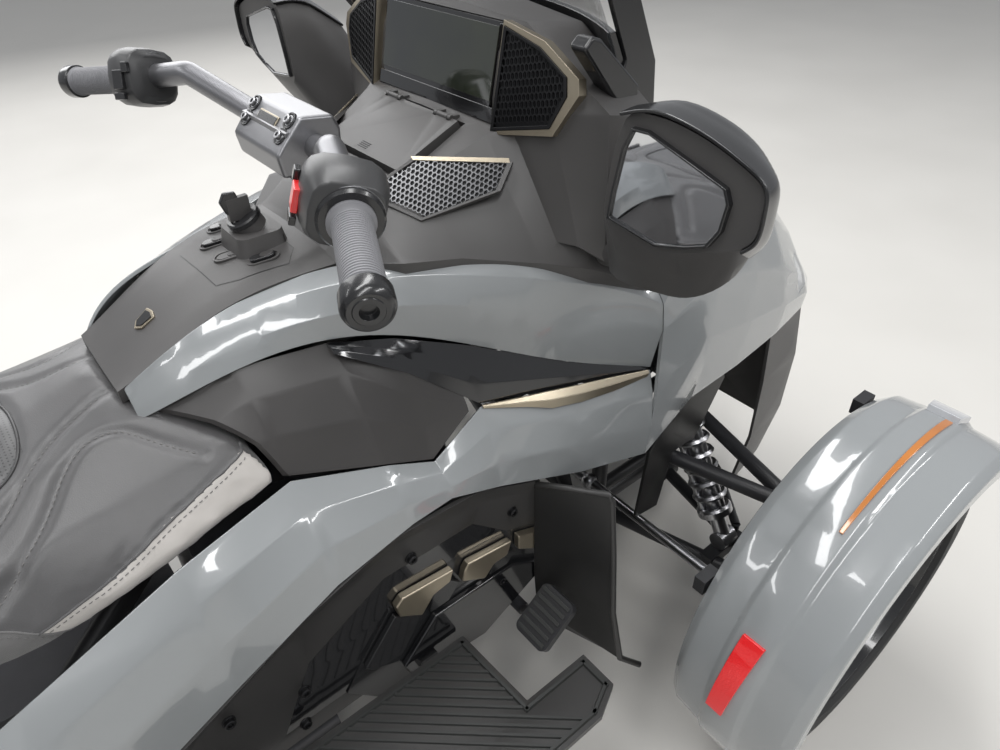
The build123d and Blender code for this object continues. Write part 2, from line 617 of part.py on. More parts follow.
# Swing arm and drive belt.
ARM_IN = 146.0
ARM_OUT = 168.0
swing_outline = [(-312, 332), (-312, 268), (-400, 262), (-790, 272), (-830, 303), (-790, 334), (-400, 345)]
with BuildPart() as swing_arm:
    for low, high in ((-ARM_OUT, -ARM_IN), (ARM_IN, ARM_OUT)):
        add(plate_xz(swing_outline, (low, high)))
    rod((-425, -ARM_IN, SWING_Z), (-425, ARM_IN, SWING_Z), 20.0)
    rod((SWING_X, -ARM_IN, SWING_Z), (SWING_X, ARM_IN, SWING_Z), SWING_PIVOT_R)
    rod((REAR_HUB.X, -ARM_OUT - 8, REAR_HUB.Z), (REAR_HUB.X, ARM_OUT + 8, REAR_HUB.Z), REAR_AXLE_R)
    block((-660, -610), (-ARM_IN, -123), (300, 330))
    block((-660, -600), (-ARM_IN, -123), (330, 400))
swing_arm.part.label = "swing_arm"
export_step(swing_arm.part, "parts/swing_arm.step")

SPROCKET = (-150.0, 280.0)
SPROCKET_R = 44.0
BELT_THICK = 6.0
with BuildPart() as drive_belt:
    with BuildSketch(Plane.XZ.offset(-REAR_DRIVE_Y - BELT_W + 1)):
        with Locations((REAR_HUB.X, REAR_HUB.Z)):
            Circle(PULLEY_R + SEAT_GAP + BELT_THICK)
        with Locations(SPROCKET):
            Circle(SPROCKET_R + SEAT_GAP + BELT_THICK)
        make_hull()
    extrude(amount=BELT_W - 2)
    with BuildSketch(Plane.XZ.offset(-REAR_DRIVE_Y - BELT_W)):
        with Locations((REAR_HUB.X, REAR_HUB.Z)):
            Circle(PULLEY_R + SEAT_GAP)
        with Locations(SPROCKET):
            Circle(SPROCKET_R + SEAT_GAP)
        make_hull()
    extrude(amount=BELT_W, mode=Mode.SUBTRACT)
drive_belt.part.label = "drive_belt"
export_step(drive_belt.part, "parts/drive_belt.step")

# Console strip along the tank's top, with the ignition's housing and key in front.
CONSOLE = [
    (83, [(0, 808), (60, 812), (80, 817), (78, 796)]),
    (151, [(0, 851), (66, 852), (89, 851), (86, 832)]),
    (233, [(0, 893), (78, 890), (100, 886), (97, 866)]),
    (371, [(0, 915), (96, 912), (121, 903), (118, 884)]),
    (430, [(0, 925), (100, 920), (128, 908), (124, 890)]),
]
console_body = solid_through([(x, both_sides(half)) for x, half in CONSOLE])
COLUMN_UP = (CLAMP_POINT - COLUMN_FOOT).normalized()
COLUMN_HOLE_R = 36.0
IGNITION = Vector(336.0, 0.0, 900.0)
with BuildPart() as console:
    add(console_body)
    rod(COLUMN_FOOT, CLAMP_POINT + COLUMN_UP * 60, COLUMN_HOLE_R, Mode.SUBTRACT)
    with BuildSketch(Plane.XY.offset(IGNITION.Z)):
        with Locations((IGNITION.X - 20, 0)):
            RectangleRounded(76, 84, 20)
    extrude(amount=30, taper=12)
    rod((IGNITION.X - 20, 0, IGNITION.Z + 28), (IGNITION.X - 28, 0, IGNITION.Z + 46), 22.0)
    block((IGNITION.X - 46, IGNITION.X - 16), (-4, 4), (IGNITION.Z + 44, IGNITION.Z + 74))
    rod(COLUMN_FOOT, CLAMP_POINT + COLUMN_UP * 60, COLUMN_HOLE_R, Mode.SUBTRACT)
console.part.label = "console"
export_step(console.part, "parts/console.step")

# Upper body, left side outlines of (y, z) from the console's edge down to the side inset.
TANK = [
    (90, [(80, 818), (92, 812), (104, 800), (110, 788)]),
    (233, [(101, 886), (122, 879), (146, 858), (154, 832)]),
    (350, [(122, 903), (158, 896), (184, 868), (181, 829)]),
    (500, [(205, 905), (235, 886), (250, 845), (234, 775)]),
    (640, [(262, 868), (292, 845), (302, 790), (283, 706)]),
    (780, [(318, 800), (336, 775), (342, 730), (327, 652)]),
]
KNEE = [
    (88, [(108, 786), (150, 762), (195, 733), (224, 700)]),
    (208, [(144, 828), (176, 800), (205, 755), (223, 702)]),
    (320, [(170, 828), (202, 800), (237, 745), (263, 680)]),
    (400, [(222, 770), (236, 735), (250, 690), (264, 642)]),
    (468, [(249, 712), (254, 705), (258, 698), (261, 690)]),
]
INSET = [
    (316, [(172, 830), (180, 831), (187, 829), (192, 824)]),
    (400, [(196, 812), (207, 801), (217, 788), (224, 770)]),
    (489, [(229, 778), (241, 752), (252, 722), (259, 692)]),
    (640, [(280, 705), (286, 695), (291, 684), (295, 670)]),
    (776, [(320, 657), (324, 654.5), (327, 651), (329, 647)]),
]
SIDE = [
    (-330, [(262, 530), (300, 480), (318, 400), (312, 310)]),
    (-141, [(262, 607), (294, 575), (318, 500), (317, 405)]),
    (50, [(268, 690), (298, 655), (318, 590), (318, 503)]),
    (209, [(232, 700), (270, 675), (304, 635), (316, 576)]),
    (330, [(266, 676), (290, 658), (306, 630), (311, 598)]),
    (400, [(267, 640), (286, 630), (300, 613), (304, 594)]),
    (489, [(262, 688), (285, 660), (304, 610), (305, 560)]),
    (640, [(297, 667), (318, 630), (328, 570), (322, 505)]),
    (780, [(328, 648), (340, 605), (346, 540), (339, 472)]),
]
NOSE = [
    (781, [(319, 799), (337, 774), (343, 729), (346, 600), (339, 472)]),
    (880, [(262, 950), (322, 880), (350, 790), (356, 680), (347, 550)]),
    (1000, [(235, 915), (305, 845), (346, 755), (356, 660), (350, 562)]),
    (1120, [(222, 850), (290, 790), (338, 705), (350, 640), (347, 577)]),
    (1240, [(205, 765), (262, 715), (312, 645), (328, 610), (325, 575)]),
    (1330, [(182, 680), (222, 645), (264, 605), (278, 588), (274, 566)]),
]
# The seat's front is cut to an arrow that the knee panels fill; the cut faces lean back below.
ARROW_TIP_X = 22.0
ARROW_WING = [(ARROW_TIP_X + 60, 0), (84, 80), (208, 220), (340, 370), (600, 370), (600, -370),
              (340, -370), (208, -220), (84, -80)]


def arrow_at(z, back):
    """The arrow-shaped space of the knee panels at a height, moved back by an amount."""
    with BuildSketch(Plane.XY.offset(z)) as arrow:
        with BuildLine():
            Polyline(*[(x - back, y) for x, y in ARROW_WING[1:]], close=True)
        make_face()
    return arrow.sketch


arrow_space = loft([arrow_at(600, 60).face(), arrow_at(900, MOVE_GAP).face()], ruled=True)
arrow_body = loft([arrow_at(600, 0).face(), arrow_at(900, 0).face()], ruled=True)
nose_skin = skin(NOSE, SKIN, ruled=True)
with BuildPart() as tank_cover:
    add(skin(TANK, SKIN))
    add(console.part, mode=Mode.SUBTRACT)
    mirror(about=Plane.XZ)
with BuildPart() as knee_panels:
    add(skin(KNEE, SKIN, ruled=True))
    add(arrow_body, mode=Mode.INTERSECT)
    add(tank_cover.part, mode=Mode.SUBTRACT)
    mirror(about=Plane.XZ)
with BuildPart() as side_panels:
    add(skin(SIDE, SKIN, ruled=True))
    mirror(about=Plane.XZ)
for name, piece in (("tank_cover", tank_cover), ("knee_panels", knee_panels), ("side_panels", side_panels)):
    piece.part.label = name
    export_step(piece.part, f"parts/{name}.step")

# Dash: the lower shelf with the glovebox, and the upright cowl round the display.
SHELF = [
    (371, [(0, 915), (96, 912), (122, 903), (120, 880)]),
    (430, [(0, 950), (110, 944), (196, 912), (188, 850)]),
    (500, [(0, 985), (120, 978), (222, 905), (215, 830)]),
    (600, [(0, 1028), (150, 1022), (268, 880), (255, 815)]),
    (660, [(0, 1042), (190, 1046), (300, 862), (285, 800)]),
    (780, [(0, 1060), (230, 1040), (324, 800), (310, 760)]),
]
COWL = [
    (628, [(0, 1064), (130, 1060), (200, 1035), (262, 900)]),
    (640, [(0, 1120), (135, 1116), (236, 1060), (290, 900)]),
    (664, [(0, 1160), (160, 1152), (310, 1072), (318, 880)]),
    (740, [(0, 1165), (180, 1145), (322, 1058), (330, 840)]),
    (850, [(0, 1075), (200, 1052), (268, 980), (300, 900)]),
]
shelf_body = solid_through([(x, both_sides(half)) for x, half in SHELF], ruled=True)
cowl_body = solid_through([(x, both_sides(half)) for x, half in COWL], ruled=True)
SCREEN_W = 246.0
SCREEN_H = 91.0
SCREEN_TILT = 13.0
SCREEN_CENTRE = Vector(634.0, 0.0, 1100.0)
screen_face = Plane(origin=SCREEN_CENTRE, x_dir=(0, -1, 0),
                    z_dir=(-math.cos(math.radians(SCREEN_TILT)), 0, math.sin(math.radians(SCREEN_TILT))))
GLOVE_Y = 84.0
GLOVE_HINGE = Vector(598.0, 0.0, 1024.0)
GLOVE_SLOPE = 22.0
glove_face = Plane(origin=GLOVE_HINGE,
                   x_dir=(-math.cos(math.radians(GLOVE_SLOPE)), 0, -math.sin(math.radians(GLOVE_SLOPE))),
                   z_dir=(-math.sin(math.radians(GLOVE_SLOPE)), 0, math.cos(math.radians(GLOVE_SLOPE))))
GLOVE_LENGTH = 112.0
GLOVE_BARREL_R = 4.0
GLOVE_TOP = 6.0
GLOVE_PIN = GLOVE_HINGE + glove_face.z_dir * GLOVE_TOP
GLOVE_HINGES = [GLOVE_PIN + Vector(0, y, 0) for y in (-62, 62)]
POCKET_SPARE = 6.0
with BuildPart() as dash:
    add(shelf_body)
    add(cowl_body)
    add(console.part, mode=Mode.SUBTRACT)
    with BuildSketch(screen_face.offset(40)):
        RectangleRounded(SCREEN_W + 16, SCREEN_H + 16, 6)
    extrude(amount=-58, mode=Mode.SUBTRACT)
    with BuildSketch(glove_face.offset(60)):
        with Locations((GLOVE_LENGTH / 2, 0)):
            Rectangle(GLOVE_LENGTH + 2 * POCKET_SPARE, 2 * GLOVE_Y + 34)
    extrude(amount=-70, mode=Mode.SUBTRACT)
    with BuildSketch(glove_face):
        with Locations((GLOVE_LENGTH / 2 + 2, 0)):
            Rectangle(GLOVE_LENGTH - 20, 2 * GLOVE_Y - 10)
    extrude(amount=-110, mode=Mode.SUBTRACT)
    rod(COLUMN_FOOT, CLAMP_POINT + COLUMN_UP * 60, COLUMN_HOLE_R, Mode.SUBTRACT)
    add(tank_cover.part, mode=Mode.SUBTRACT)
    add(nose_skin, mode=Mode.SUBTRACT)
    add(nose_skin.mirror(Plane.XZ), mode=Mode.SUBTRACT)
    for pin in GLOVE_HINGES:
        hinge_ears(pin, ACROSS, GLOVE_BARREL_R)
        for span in ear_spans(pin.Y):
            block((pin.X + 3.8, pin.X + POCKET_SPARE + 8), span, (pin.Z - 8, pin.Z + 2))
dash.part.label = "dash"
export_step(dash.part, "parts/dash.step")

with BuildPart() as display:
    with BuildSketch(screen_face):
        RectangleRounded(SCREEN_W + 14, SCREEN_H + 14, 5)
    extrude(amount=-17.5)
display.part.label = "display"
export_step(display.part, "parts/display.step")

with BuildPart() as glovebox_lid:
    with BuildSketch(glove_face.offset(-9)):
        with Locations((GLOVE_LENGTH / 2, 0)):
            Trapezoid(GLOVE_LENGTH, 2 * GLOVE_Y + 22, 90)
    extrude(amount=9 + GLOVE_TOP)
    for pin in GLOVE_HINGES:
        hinge_barrel(pin, ACROSS, GLOVE_BARREL_R)
        hinge_bore(pin, ACROSS, GLOVE_BARREL_R)
glovebox_lid.part.label = "glovebox_lid"
export_step(glovebox_lid.part, "parts/glovebox_lid.step")

# Handlebar: the column, the riser clamp with its cap, the bent bar and the switch housings; then the grips.
BAR_R = 16.0
GRIP_IN = Vector(300, 327, 1057)
GRIP_END = Vector(248, 438, 1041)
GRIP_RUN = (GRIP_END - GRIP_IN).normalized()
half_bar = tube([(252, 430, 1042), (304, 322, 1058), (350, 205, 1080), (398, 92, 1034), (398, 0, 1034)],
                BAR_R, 30.0)
with BuildPart() as handlebar:
    add(half_bar)
    rod(GRIP_IN - GRIP_RUN * 62, GRIP_IN - GRIP_RUN * 4, 34.0)
    mirror(about=Plane.XZ)
    rod(COLUMN_FOOT, CLAMP_POINT, COLUMN_R)
    block((362, 430), (-62, 62), (1004, 1058))
    rod(along(CLAMP_POINT, COLUMN_FOOT, 0.3), CLAMP_POINT, 30.0)
with BuildPart() as grips:
    rod(GRIP_IN, GRIP_END, 19.0)
    rod(GRIP_END - GRIP_RUN * 12, GRIP_END + GRIP_RUN * 18, 21.0)
    add(handlebar.part, mode=Mode.SUBTRACT)
    mirror(about=Plane.XZ)
handlebar.part.label = "handlebar"
export_step(handlebar.part, "parts/handlebar.step")
grips.part.label = "grips"
export_step(grips.part, "parts/grips.step")

# Windshield: a curved sheet standing in its dark carrier, with a side deflector at each lower corner.
GLASS_THICK = 4.0
SHIELD = [
    (1046, 836, 750, 268),
    (1240, 742, 655, 262),
    (HEIGHT, 622, 560, 190),
]


def bowed_sheet(levels, thick):
    """Sheet through levels of (z, middle x, edge x, half width), each level an arc in plan."""
    with BuildPart() as sheet:
        for z, mid_x, edge_x, half in levels:
            with BuildSketch(Plane.XY.offset(z)):
                with BuildLine():
                    ThreePointArc((edge_x, -half), (mid_x, 0), (edge_x, half))
                    Line((edge_x, half), (edge_x - thick, half - thick))
                    ThreePointArc((edge_x - thick, half - thick), (mid_x - thick, 0),
                                  (edge_x - thick, -half + thick))
                    Line((edge_x - thick, -half + thick), (edge_x, -half))
                make_face()
        loft()
    return sheet.part


with BuildPart() as windshield:
    add(bowed_sheet(SHIELD, GLASS_THICK))
    add(dash.part, mode=Mode.SUBTRACT)
windshield.part.label = "windshield"
export_step(windshield.part, "parts/windshield.step")

CARRIER = [
    (1078, 832, 744, 277),
    (1150, 796, 706, 277),
]
with BuildPart() as windshield_frame:
    add(bowed_sheet(CARRIER, 14.0))
    for side in (-1, 1):
        low, high = sorted((side * 268, side * 284))
        add(plate_xz([(640, 1098), (700, 1050), (770, 1040), (740, 1150),
                      (660, 1230), (600, 1262), (610, 1180)],
                     (low, high)))
    add(windshield.part, mode=Mode.SUBTRACT)
    add(dash.part, mode=Mode.SUBTRACT)
windshield_frame.part.label = "windshield_frame"
export_step(windshield_frame.part, "parts/windshield_frame.step")

# Mirror pods: each a shell with its glass facing the rider, on an arm from the dash.
POD = [
    (586, [(392, 1096), (500, 1112), (576, 1094), (584, 1030), (548, 960), (470, 930), (400, 965)]),
    (640, [(380, 1100), (500, 1122), (588, 1100), (594, 1024), (556, 944), (466, 908), (376, 950)]),
    (720, [(372, 1060), (470, 1082), (548, 1062), (552, 1000), (516, 940), (440, 906), (366, 930)]),
    (790, [(372, 1000), (430, 1010), (480, 996), (482, 960), (462, 930), (420, 912), (372, 925)]),
]
GLASS_EDGE = [(404, 1084), (500, 1100), (566, 1084), (572, 1032), (540, 972), (472, 944), (412, 974)]
pod = solid_through(POD)
with BuildPart() as mirror_pods:
    add(pod)
    with BuildSketch(Plane.YZ.offset(580)):
        with BuildLine():
            Polyline(*GLASS_EDGE, close=True)
        make_face()
    extrude(amount=26, mode=Mode.SUBTRACT)
    rod((690, 300, 880), (690, 440, 950), 26.0)
    mirror(about=Plane.XZ)
    add(dash.part, mode=Mode.SUBTRACT)
    add(nose_skin, mode=Mode.SUBTRACT)
    add(nose_skin.mirror(Plane.XZ), mode=Mode.SUBTRACT)
mirror_pods.part.label = "mirror_pods"
export_step(mirror_pods.part, "parts/mirror_pods.step")
with BuildPart() as mirror_glass:
    with BuildSketch(Plane.YZ.offset(602)):
        with BuildLine():
            Polyline(*[(y * 0.998 + 1, z * 0.998 + 2) for y, z in GLASS_EDGE], close=True)
        make_face()
    extrude(amount=4)
    mirror(about=Plane.XZ)
mirror_glass.part.label = "mirror_glass"
export_step(mirror_glass.part, "parts/mirror_glass.step")

# Front trunk: a tub between the nose panels and its lid, hinged at the front.
TUB_Y = 176.0
TUB_WALL = 4.0
TRUNK_HINGE = Vector(1284.0, 0.0, 762.0)
HOOD = [
    (905, [(0, 985), (120, 975), (226, 934)]),
    (1000, [(0, 950), (120, 942), (222, 912)]),
    (1120, [(0, 884), (110, 876), (208, 846)]),
    (1240, [(0, 794), (100, 788), (192, 762)]),
    (1278, [(0, 760), (100, 754), (184, 732)]),
]
LID_THICK = 14.0


def hood_outline(half):
    """Closed outline of the hood's sheet from its left half."""
    top = [(-y, z) for y, z in reversed(half) if y] + half
    return top + [(y, z - LID_THICK) for y, z in reversed(top)]


TRUNK_BARREL_R = 6.0
TRUNK_HINGES = [TRUNK_HINGE + Vector(0, y, 0) for y in (-100, 100)]
with BuildPart() as trunk_lid:
    add(solid_through([(x, hood_outline(half)) for x, half in HOOD]))
    for pin in TRUNK_HINGES:
        hinge_barrel(pin, ACROSS, TRUNK_BARREL_R)
        block((pin.X - 18, pin.X), (pin.Y - HINGE_HALF, pin.Y + HINGE_HALF), (pin.Z - 16, pin.Z))
        hinge_bore(pin, ACROSS, TRUNK_BARREL_R)
trunk_lid.part.label = "trunk_lid"
export_step(trunk_lid.part, "parts/trunk_lid.step")
tub_outer = plate_xz([(912, TUB_Z), (1262, TUB_Z), (1262, 722), (1240, 742),
                      (1120, 826), (1000, 890), (912, 924)],
                     (-TUB_Y, TUB_Y))
tub_inner = plate_xz([(916, TUB_Z + TUB_WALL), (1258, TUB_Z + TUB_WALL), (1258, 790), (916, 990)],
                     (-TUB_Y + TUB_WALL, TUB_Y - TUB_WALL))
with BuildPart() as trunk_tub:
    add(tub_outer)
    add(tub_inner, mode=Mode.SUBTRACT)
trunk_tub.part.label = "trunk_tub"
export_step(trunk_tub.part, "parts/trunk_tub.step")

# Nose cap between the headlights, and the dark chin below with the radiator opening.
NOSE_CAP = [
    (1290, [(0, 752), (110, 742), (196, 712), (262, 640), (276, 600), (270, 574)]),
    (1360, [(0, 690), (105, 680), (178, 650), (214, 610), (222, 588), (215, 568)]),
    (1400, [(0, 634), (80, 626), (130, 606), (150, 590), (154, 580), (150, 566)]),
    (NOSE_X, [(0, 604), (44, 600), (72, 592), (84, 586), (86, 580), (84, 570)]),
]
CHIN = [
    (1106, [(346, 579), (354, 470), (356, 330), (336, 182)]),
    (1240, [(324, 578), (338, 470), (336, 330), (310, 180)]),
    (1340, [(262, 570), (272, 470), (262, 340), (232, 200)]),
]
with BuildPart() as chin:
    add(skin(CHIN, SKIN, ruled=True))
    mirror(about=Plane.XZ)
    add(solid_through([(1334, both_sides([(0, 572), (262, 569), (270, 470), (262, 340), (236, 200)])),
                       (1385, both_sides([(0, 570), (190, 567), (200, 470), (190, 350), (150, 230)]))],
                      ruled=True))
    block((1320, 1400), (-140, 140), (250, 440), Mode.SUBTRACT)
    block((1336, 1344), (-140, 140), (250, 440))
LAMP_X = (1196.0, 1322.0)
LAMP_Z = (628.0, 690.0)
lamp_stock = skin(NOSE, 40.0, ruled=True)
with BuildPart() as lamp_window:
    block(LAMP_X, (180, 400), LAMP_Z)
with BuildPart() as headlights:
    add(lamp_stock)
    add(lamp_window.part, mode=Mode.INTERSECT)
    mirror(about=Plane.XZ)
with BuildPart() as nose_panels:
    add(nose_skin)
    add(lamp_window.part, mode=Mode.SUBTRACT)
    mirror(about=Plane.XZ)
    add(solid_through([(x, both_sides(half)) for x, half in NOSE_CAP], ruled=True))
    for pin in TRUNK_HINGES:
        hinge_ears(pin, ACROSS, TRUNK_BARREL_R)
        for span in ear_spans(pin.Y):
            block((pin.X - 2, pin.X + 24), span, (pin.Z - 28, pin.Z + 4))
    add(headlights.part, mode=Mode.SUBTRACT)
    add(dash.part, mode=Mode.SUBTRACT)
with BuildPart() as chin_panels:
    add(chin.part)
    add(nose_panels.part, mode=Mode.SUBTRACT)
nose_panels.part.label = "nose_shell"
export_step(nose_panels.part, "parts/nose_shell.step")
headlights.part.label = "headlights"
export_step(headlights.part, "parts/headlights.step")
chin_panels.part.label = "chin"
export_step(chin_panels.part, "parts/chin.step")

# Lower side: charcoal panel under the side panel, with a gloss cover over the engine and the spear inset.
LOWER = [
    (-300, [(311, 328), (303, 310), (297, 285), (290, 262)]),
    (-26, [(316, 455), (300, 430), (293, 360), (288, 262)]),
    (149, [(315, 547), (300, 520), (290, 400), (286, 262)]),
    (300, [(309, 590), (296, 560), (289, 430), (285, 262)]),
    (450, [(301, 572), (293, 540), (288, 420), (285, 262)]),
    (570, [(301, 516), (294, 488), (289, 400), (285, 262)]),
]
COVER_OUTLINE = [(90, 300), (500, 300), (520, 420), (440, 500), (280, 505), (150, 430)]
cover_stock = skin(LOWER, 12.0, ruled=True)
cover_window = plate_xz(COVER_OUTLINE, (240, 330))
lower_skin = skin(LOWER, SKIN, ruled=True)
inset_skin = skin(INSET, SKIN, ruled=True)
with BuildPart() as lower_panels:
    add(lower_skin)
    add(cover_window, mode=Mode.SUBTRACT)
    add(side_panels.part, mode=Mode.SUBTRACT)
    mirror(about=Plane.XZ)
lower_panels.part.label = "lower_panels"
export_step(lower_panels.part, "parts/lower_panels.step")
with BuildPart() as gloss_covers:
    add(cover_stock)
    add(cover_window, mode=Mode.INTERSECT)
    add(inset_skin)
    add(tank_cover.part, mode=Mode.SUBTRACT)
    add(knee_panels.part, mode=Mode.SUBTRACT)
    add(side_panels.part, mode=Mode.SUBTRACT)
    mirror(about=Plane.XZ)
gloss_covers.part.label = "gloss_covers"
export_step(gloss_covers.part, "parts/gloss_covers.step")

# Champagne trim: the spear under the inset and the three louvres on the engine cover.
SPEAR = [
    (489, [(259, 704), (264, 688)]),
    (560, [(277, 696), (283, 676)]),
    (680, [(306, 690), (311, 664)]),
    (772, [(329, 656), (332, 646)]),
]
LOUVRES = [
    (300, 396, 430, 412),
    (410, 506, 425, 402),
    (520, 600, 402, 372),
]
with BuildPart() as trim_strips:
    add(skin([(x, edge) for x, edge in SPEAR], TRIM, ruled=True))
    for start_x, end_x, top_z, low_z in LOUVRES[:2]:
        add(plate_xz([(start_x, top_z - 26), (end_x - 8, low_z - 4),
                      (end_x, low_z + 18), (start_x + 8, top_z)],
                     (287, 301)))
    add(gloss_covers.part, mode=Mode.SUBTRACT)
    add(side_panels.part, mode=Mode.SUBTRACT)
    add(tank_cover.part, mode=Mode.SUBTRACT)
    add(lower_panels.part, mode=Mode.SUBTRACT)
    mirror(about=Plane.XZ)
trim_strips.part.label = "trim_strips"
export_step(trim_strips.part, "parts/trim_strips.step")

# Footboards on brackets from the frame, the brake pedal, and the splash guards ahead of the feet.
BOARD_Z = 280.0
BOARD_THICK = 12.0
board_outline = [(-90, 312), (-90, 500), (-30, 556), (470, 556),
                 (520, 532), (520, 465), (400, 465), (392, 312)]
with BuildPart() as footboards:
    add(plate_xy(board_outline, (BOARD_Z - BOARD_THICK, BOARD_Z)))
    block((-16, 16), (RAIL_Y + 2, 520), (BOARD_Z - BOARD_THICK - 24, BOARD_Z - BOARD_THICK))
    block((-16, 16), (RAIL_Y + 2, RAIL_Y + 20), (RAIL_Z + 12, BOARD_Z - BOARD_THICK))
    block((314, 346), (RAIL_Y + 2, 262), (RAIL_Z + 16, RAIL_Z + 36))
    block((314, 346), (236, 262), (RAIL_Z + 16, BOARD_Z - BOARD_THICK))
    block((314, 346), (236, 520), (BOARD_Z - BOARD_THICK - 24, BOARD_Z - BOARD_THICK))
    add(lower_panels.part, mode=Mode.SUBTRACT)
    add(gloss_covers.part, mode=Mode.SUBTRACT)
    add(frame.part, mode=Mode.SUBTRACT)
    add(engine.part, mode=Mode.SUBTRACT)
    mirror(about=Plane.XZ)
footboards.part.label = "footboards"
export_step(footboards.part, "parts/footboards.step")

PEDAL_PAD = Vector(500.0, -392.0, 318.0)
pedal_face = Plane(origin=PEDAL_PAD, x_dir=(0, 1, 0), z_dir=(-0.64, 0, 0.77))
with BuildPart() as brake_pedal:
    with BuildSketch(pedal_face):
        RectangleRounded(70, 92, 12)
    extrude(amount=-14)
    rod((506, -372, 300), (536, -300, 206), 9.0)
    rod((536, -300, 206), (536, -168, 206), 12.0)
    block((522, 550), (-176, -RAIL_Y), (RAIL_Z, 220))
    add(frame.part, mode=Mode.SUBTRACT)
brake_pedal.part.label = "brake_pedal"
export_step(brake_pedal.part, "parts/brake_pedal.step")

DEFLECTOR_Y = 340.5
GUARD = [
    (520, [(556, 303), (632, 400), (628, 403), (552, 306)]),
    (300, [(560, 303), (604, 450), (599, 452), (555, 305)]),
    (196, [(568, 303), (606, 476), (601, 478), (563, 305)]),
    (168, [(570, 303), (636, 498), (631, 501), (565, 306)]),
]
with BuildPart() as splash_guards:
    for upper, lower in zip(GUARD, GUARD[1:]):
        with BuildSketch(Plane.XY.offset(upper[0])):
            with BuildLine():
                Polyline(*upper[1], close=True)
            make_face()
        with BuildSketch(Plane.XY.offset(lower[0])):
            with BuildLine():
                Polyline(*lower[1], close=True)
            make_face()
        loft(ruled=True)
    add(plate_xz([(975, 568), (985, 536), (925, 426), (862, 426),
                  (838, 302), (776, 312), (792, 466), (872, 560)],
                 (DEFLECTOR_Y - SKIN, DEFLECTOR_Y)))
    mirror(about=Plane.XZ)
    add(nose_panels.part, mode=Mode.SUBTRACT)
    add(side_panels.part, mode=Mode.SUBTRACT)
    add(chin_panels.part, mode=Mode.SUBTRACT)
    add(lower_panels.part, mode=Mode.SUBTRACT)
splash_guards.part.label = "splash_guards"
export_step(splash_guards.part, "parts/splash_guards.step")

# Rider's seat, hinged on its left edge, and the passenger's seat with its backrest.
RIDER = [
    (200, [(0, 806), (120, 776), (190, 742), (214, 712), (210, 692), (0.1, 692)]),
    (60, [(0, 800), (110, 786), (190, 748), (226, 700), (222, 664), (0.1, 664)]),
    (-90, [(0, 768), (120, 762), (200, 735), (236, 684), (232, 645), (0.1, 645)]),
    (-250, [(0, 757), (130, 753), (212, 732), (242, 686), (238, 645), (0.1, 645)]),
    (-338, [(0, 790), (130, 784), (206, 756), (232, 700), (228, 645), (0.1, 645)]),
]
PASSENGER = [
    (-345, [(0, 800), (120, 796), (180, 776), (205, 730), (205, 694)]),
    (-430, [(0, 905), (120, 900), (176, 884), (200, 836), (200, 694)]),
    (-620, [(0, 898), (120, 894), (178, 880), (202, 836), (202, 694)]),
    (-785, [(0, 915), (110, 910), (165, 894), (192, 850), (192, 694)]),
]
with BuildPart() as seat:
    add(solid_through([(x, both_sides(half[:-1])) for x, half in RIDER], ruled=True))
    add(arrow_space, mode=Mode.SUBTRACT)
    for pin in SEAT_HINGES:
        hinge_barrel(pin, LENGTHWAYS, SEAT_BARREL_R)
        block((pin.X - HINGE_HALF, pin.X + HINGE_HALF), (pin.Y - 42, pin.Y), (pin.Z - 5, pin.Z + 1))
        hinge_bore(pin, LENGTHWAYS, SEAT_BARREL_R)
with BuildPart() as passenger_seat:
    add(solid_through([(x, both_sides(half)) for x, half in PASSENGER], ruled=True))
    with BuildSketch(Plane.XY.offset(PAD_LOW_Z)):
        with Locations((-820, 0)):
            RectangleRounded(46, 330, 22)
    extrude(amount=290, taper=2)
for name, piece in (("seat", seat), ("passenger_seat", passenger_seat)):
    piece.part.label = name
    export_step(piece.part, f"parts/{name}.step")

# Rear body under the passenger's seat, with the mudguard and blank plate holder.
REAR_BODY = [
    (-345, [(0, 693), (204, 691), (226, 650), (222, 624)]),
    (-790, [(0, 693), (206, 691), (228, 660), (224, 626)]),
    (-1000, [(0, 760), (206, 756), (228, 700), (222, 640)]),
    (-1300, [(0, 860), (180, 850), (206, 780), (200, 700)]),
]
PLATE_HOLE_SPACING = 177.8
PLATE_HOLE_R = 3.5
with BuildPart() as rear_body:
    add(solid_through([(x, both_sides(half)) for x, half in REAR_BODY], ruled=True))
    add(plate_xz([(-1186, 700), (-1226, 600), (-1226, 430), (-1216, 430),
                  (-1216, 598), (-1160, 700)], (-120, 120)))
    with BuildSketch(Plane.YZ.offset(-1230)):
        with Locations((0, 570)):
            with GridLocations(PLATE_HOLE_SPACING, 1, 2, 1):
                Circle(PLATE_HOLE_R)
    extrude(amount=20, mode=Mode.SUBTRACT)
    add(frame.part, mode=Mode.SUBTRACT)
rear_body.part.label = "rear_body"
export_step(rear_body.part, "parts/rear_body.step")

# Luggage: the bases of the top case and side cases, then their hinged lids, all hollow.
CASE_WALL = 4.0
REAR_BODY_Y = 228.0
CASE_IN_Y = REAR_BODY_Y + SEAT_GAP
SIDE_CASE = [
    (-560, [(CASE_IN_Y, 800), (330, 806), (388, 770), (392, 600), (372, 520), (CASE_IN_Y, 510)]),
    (-800, [(CASE_IN_Y, 850), (390, 846), (462, 790), (470, 600), (440, 450), (CASE_IN_Y, 430)]),
    (-1080, [(CASE_IN_Y, 850), (390, 846), (462, 790), (470, 600), (440, 450), (CASE_IN_Y, 430)]),
    (-1320, [(CASE_IN_Y, 820), (340, 816), (392, 770), (396, 620), (372, 520), (CASE_IN_Y, 505)]),
]
SIDE_SPLIT_Y = 350.0


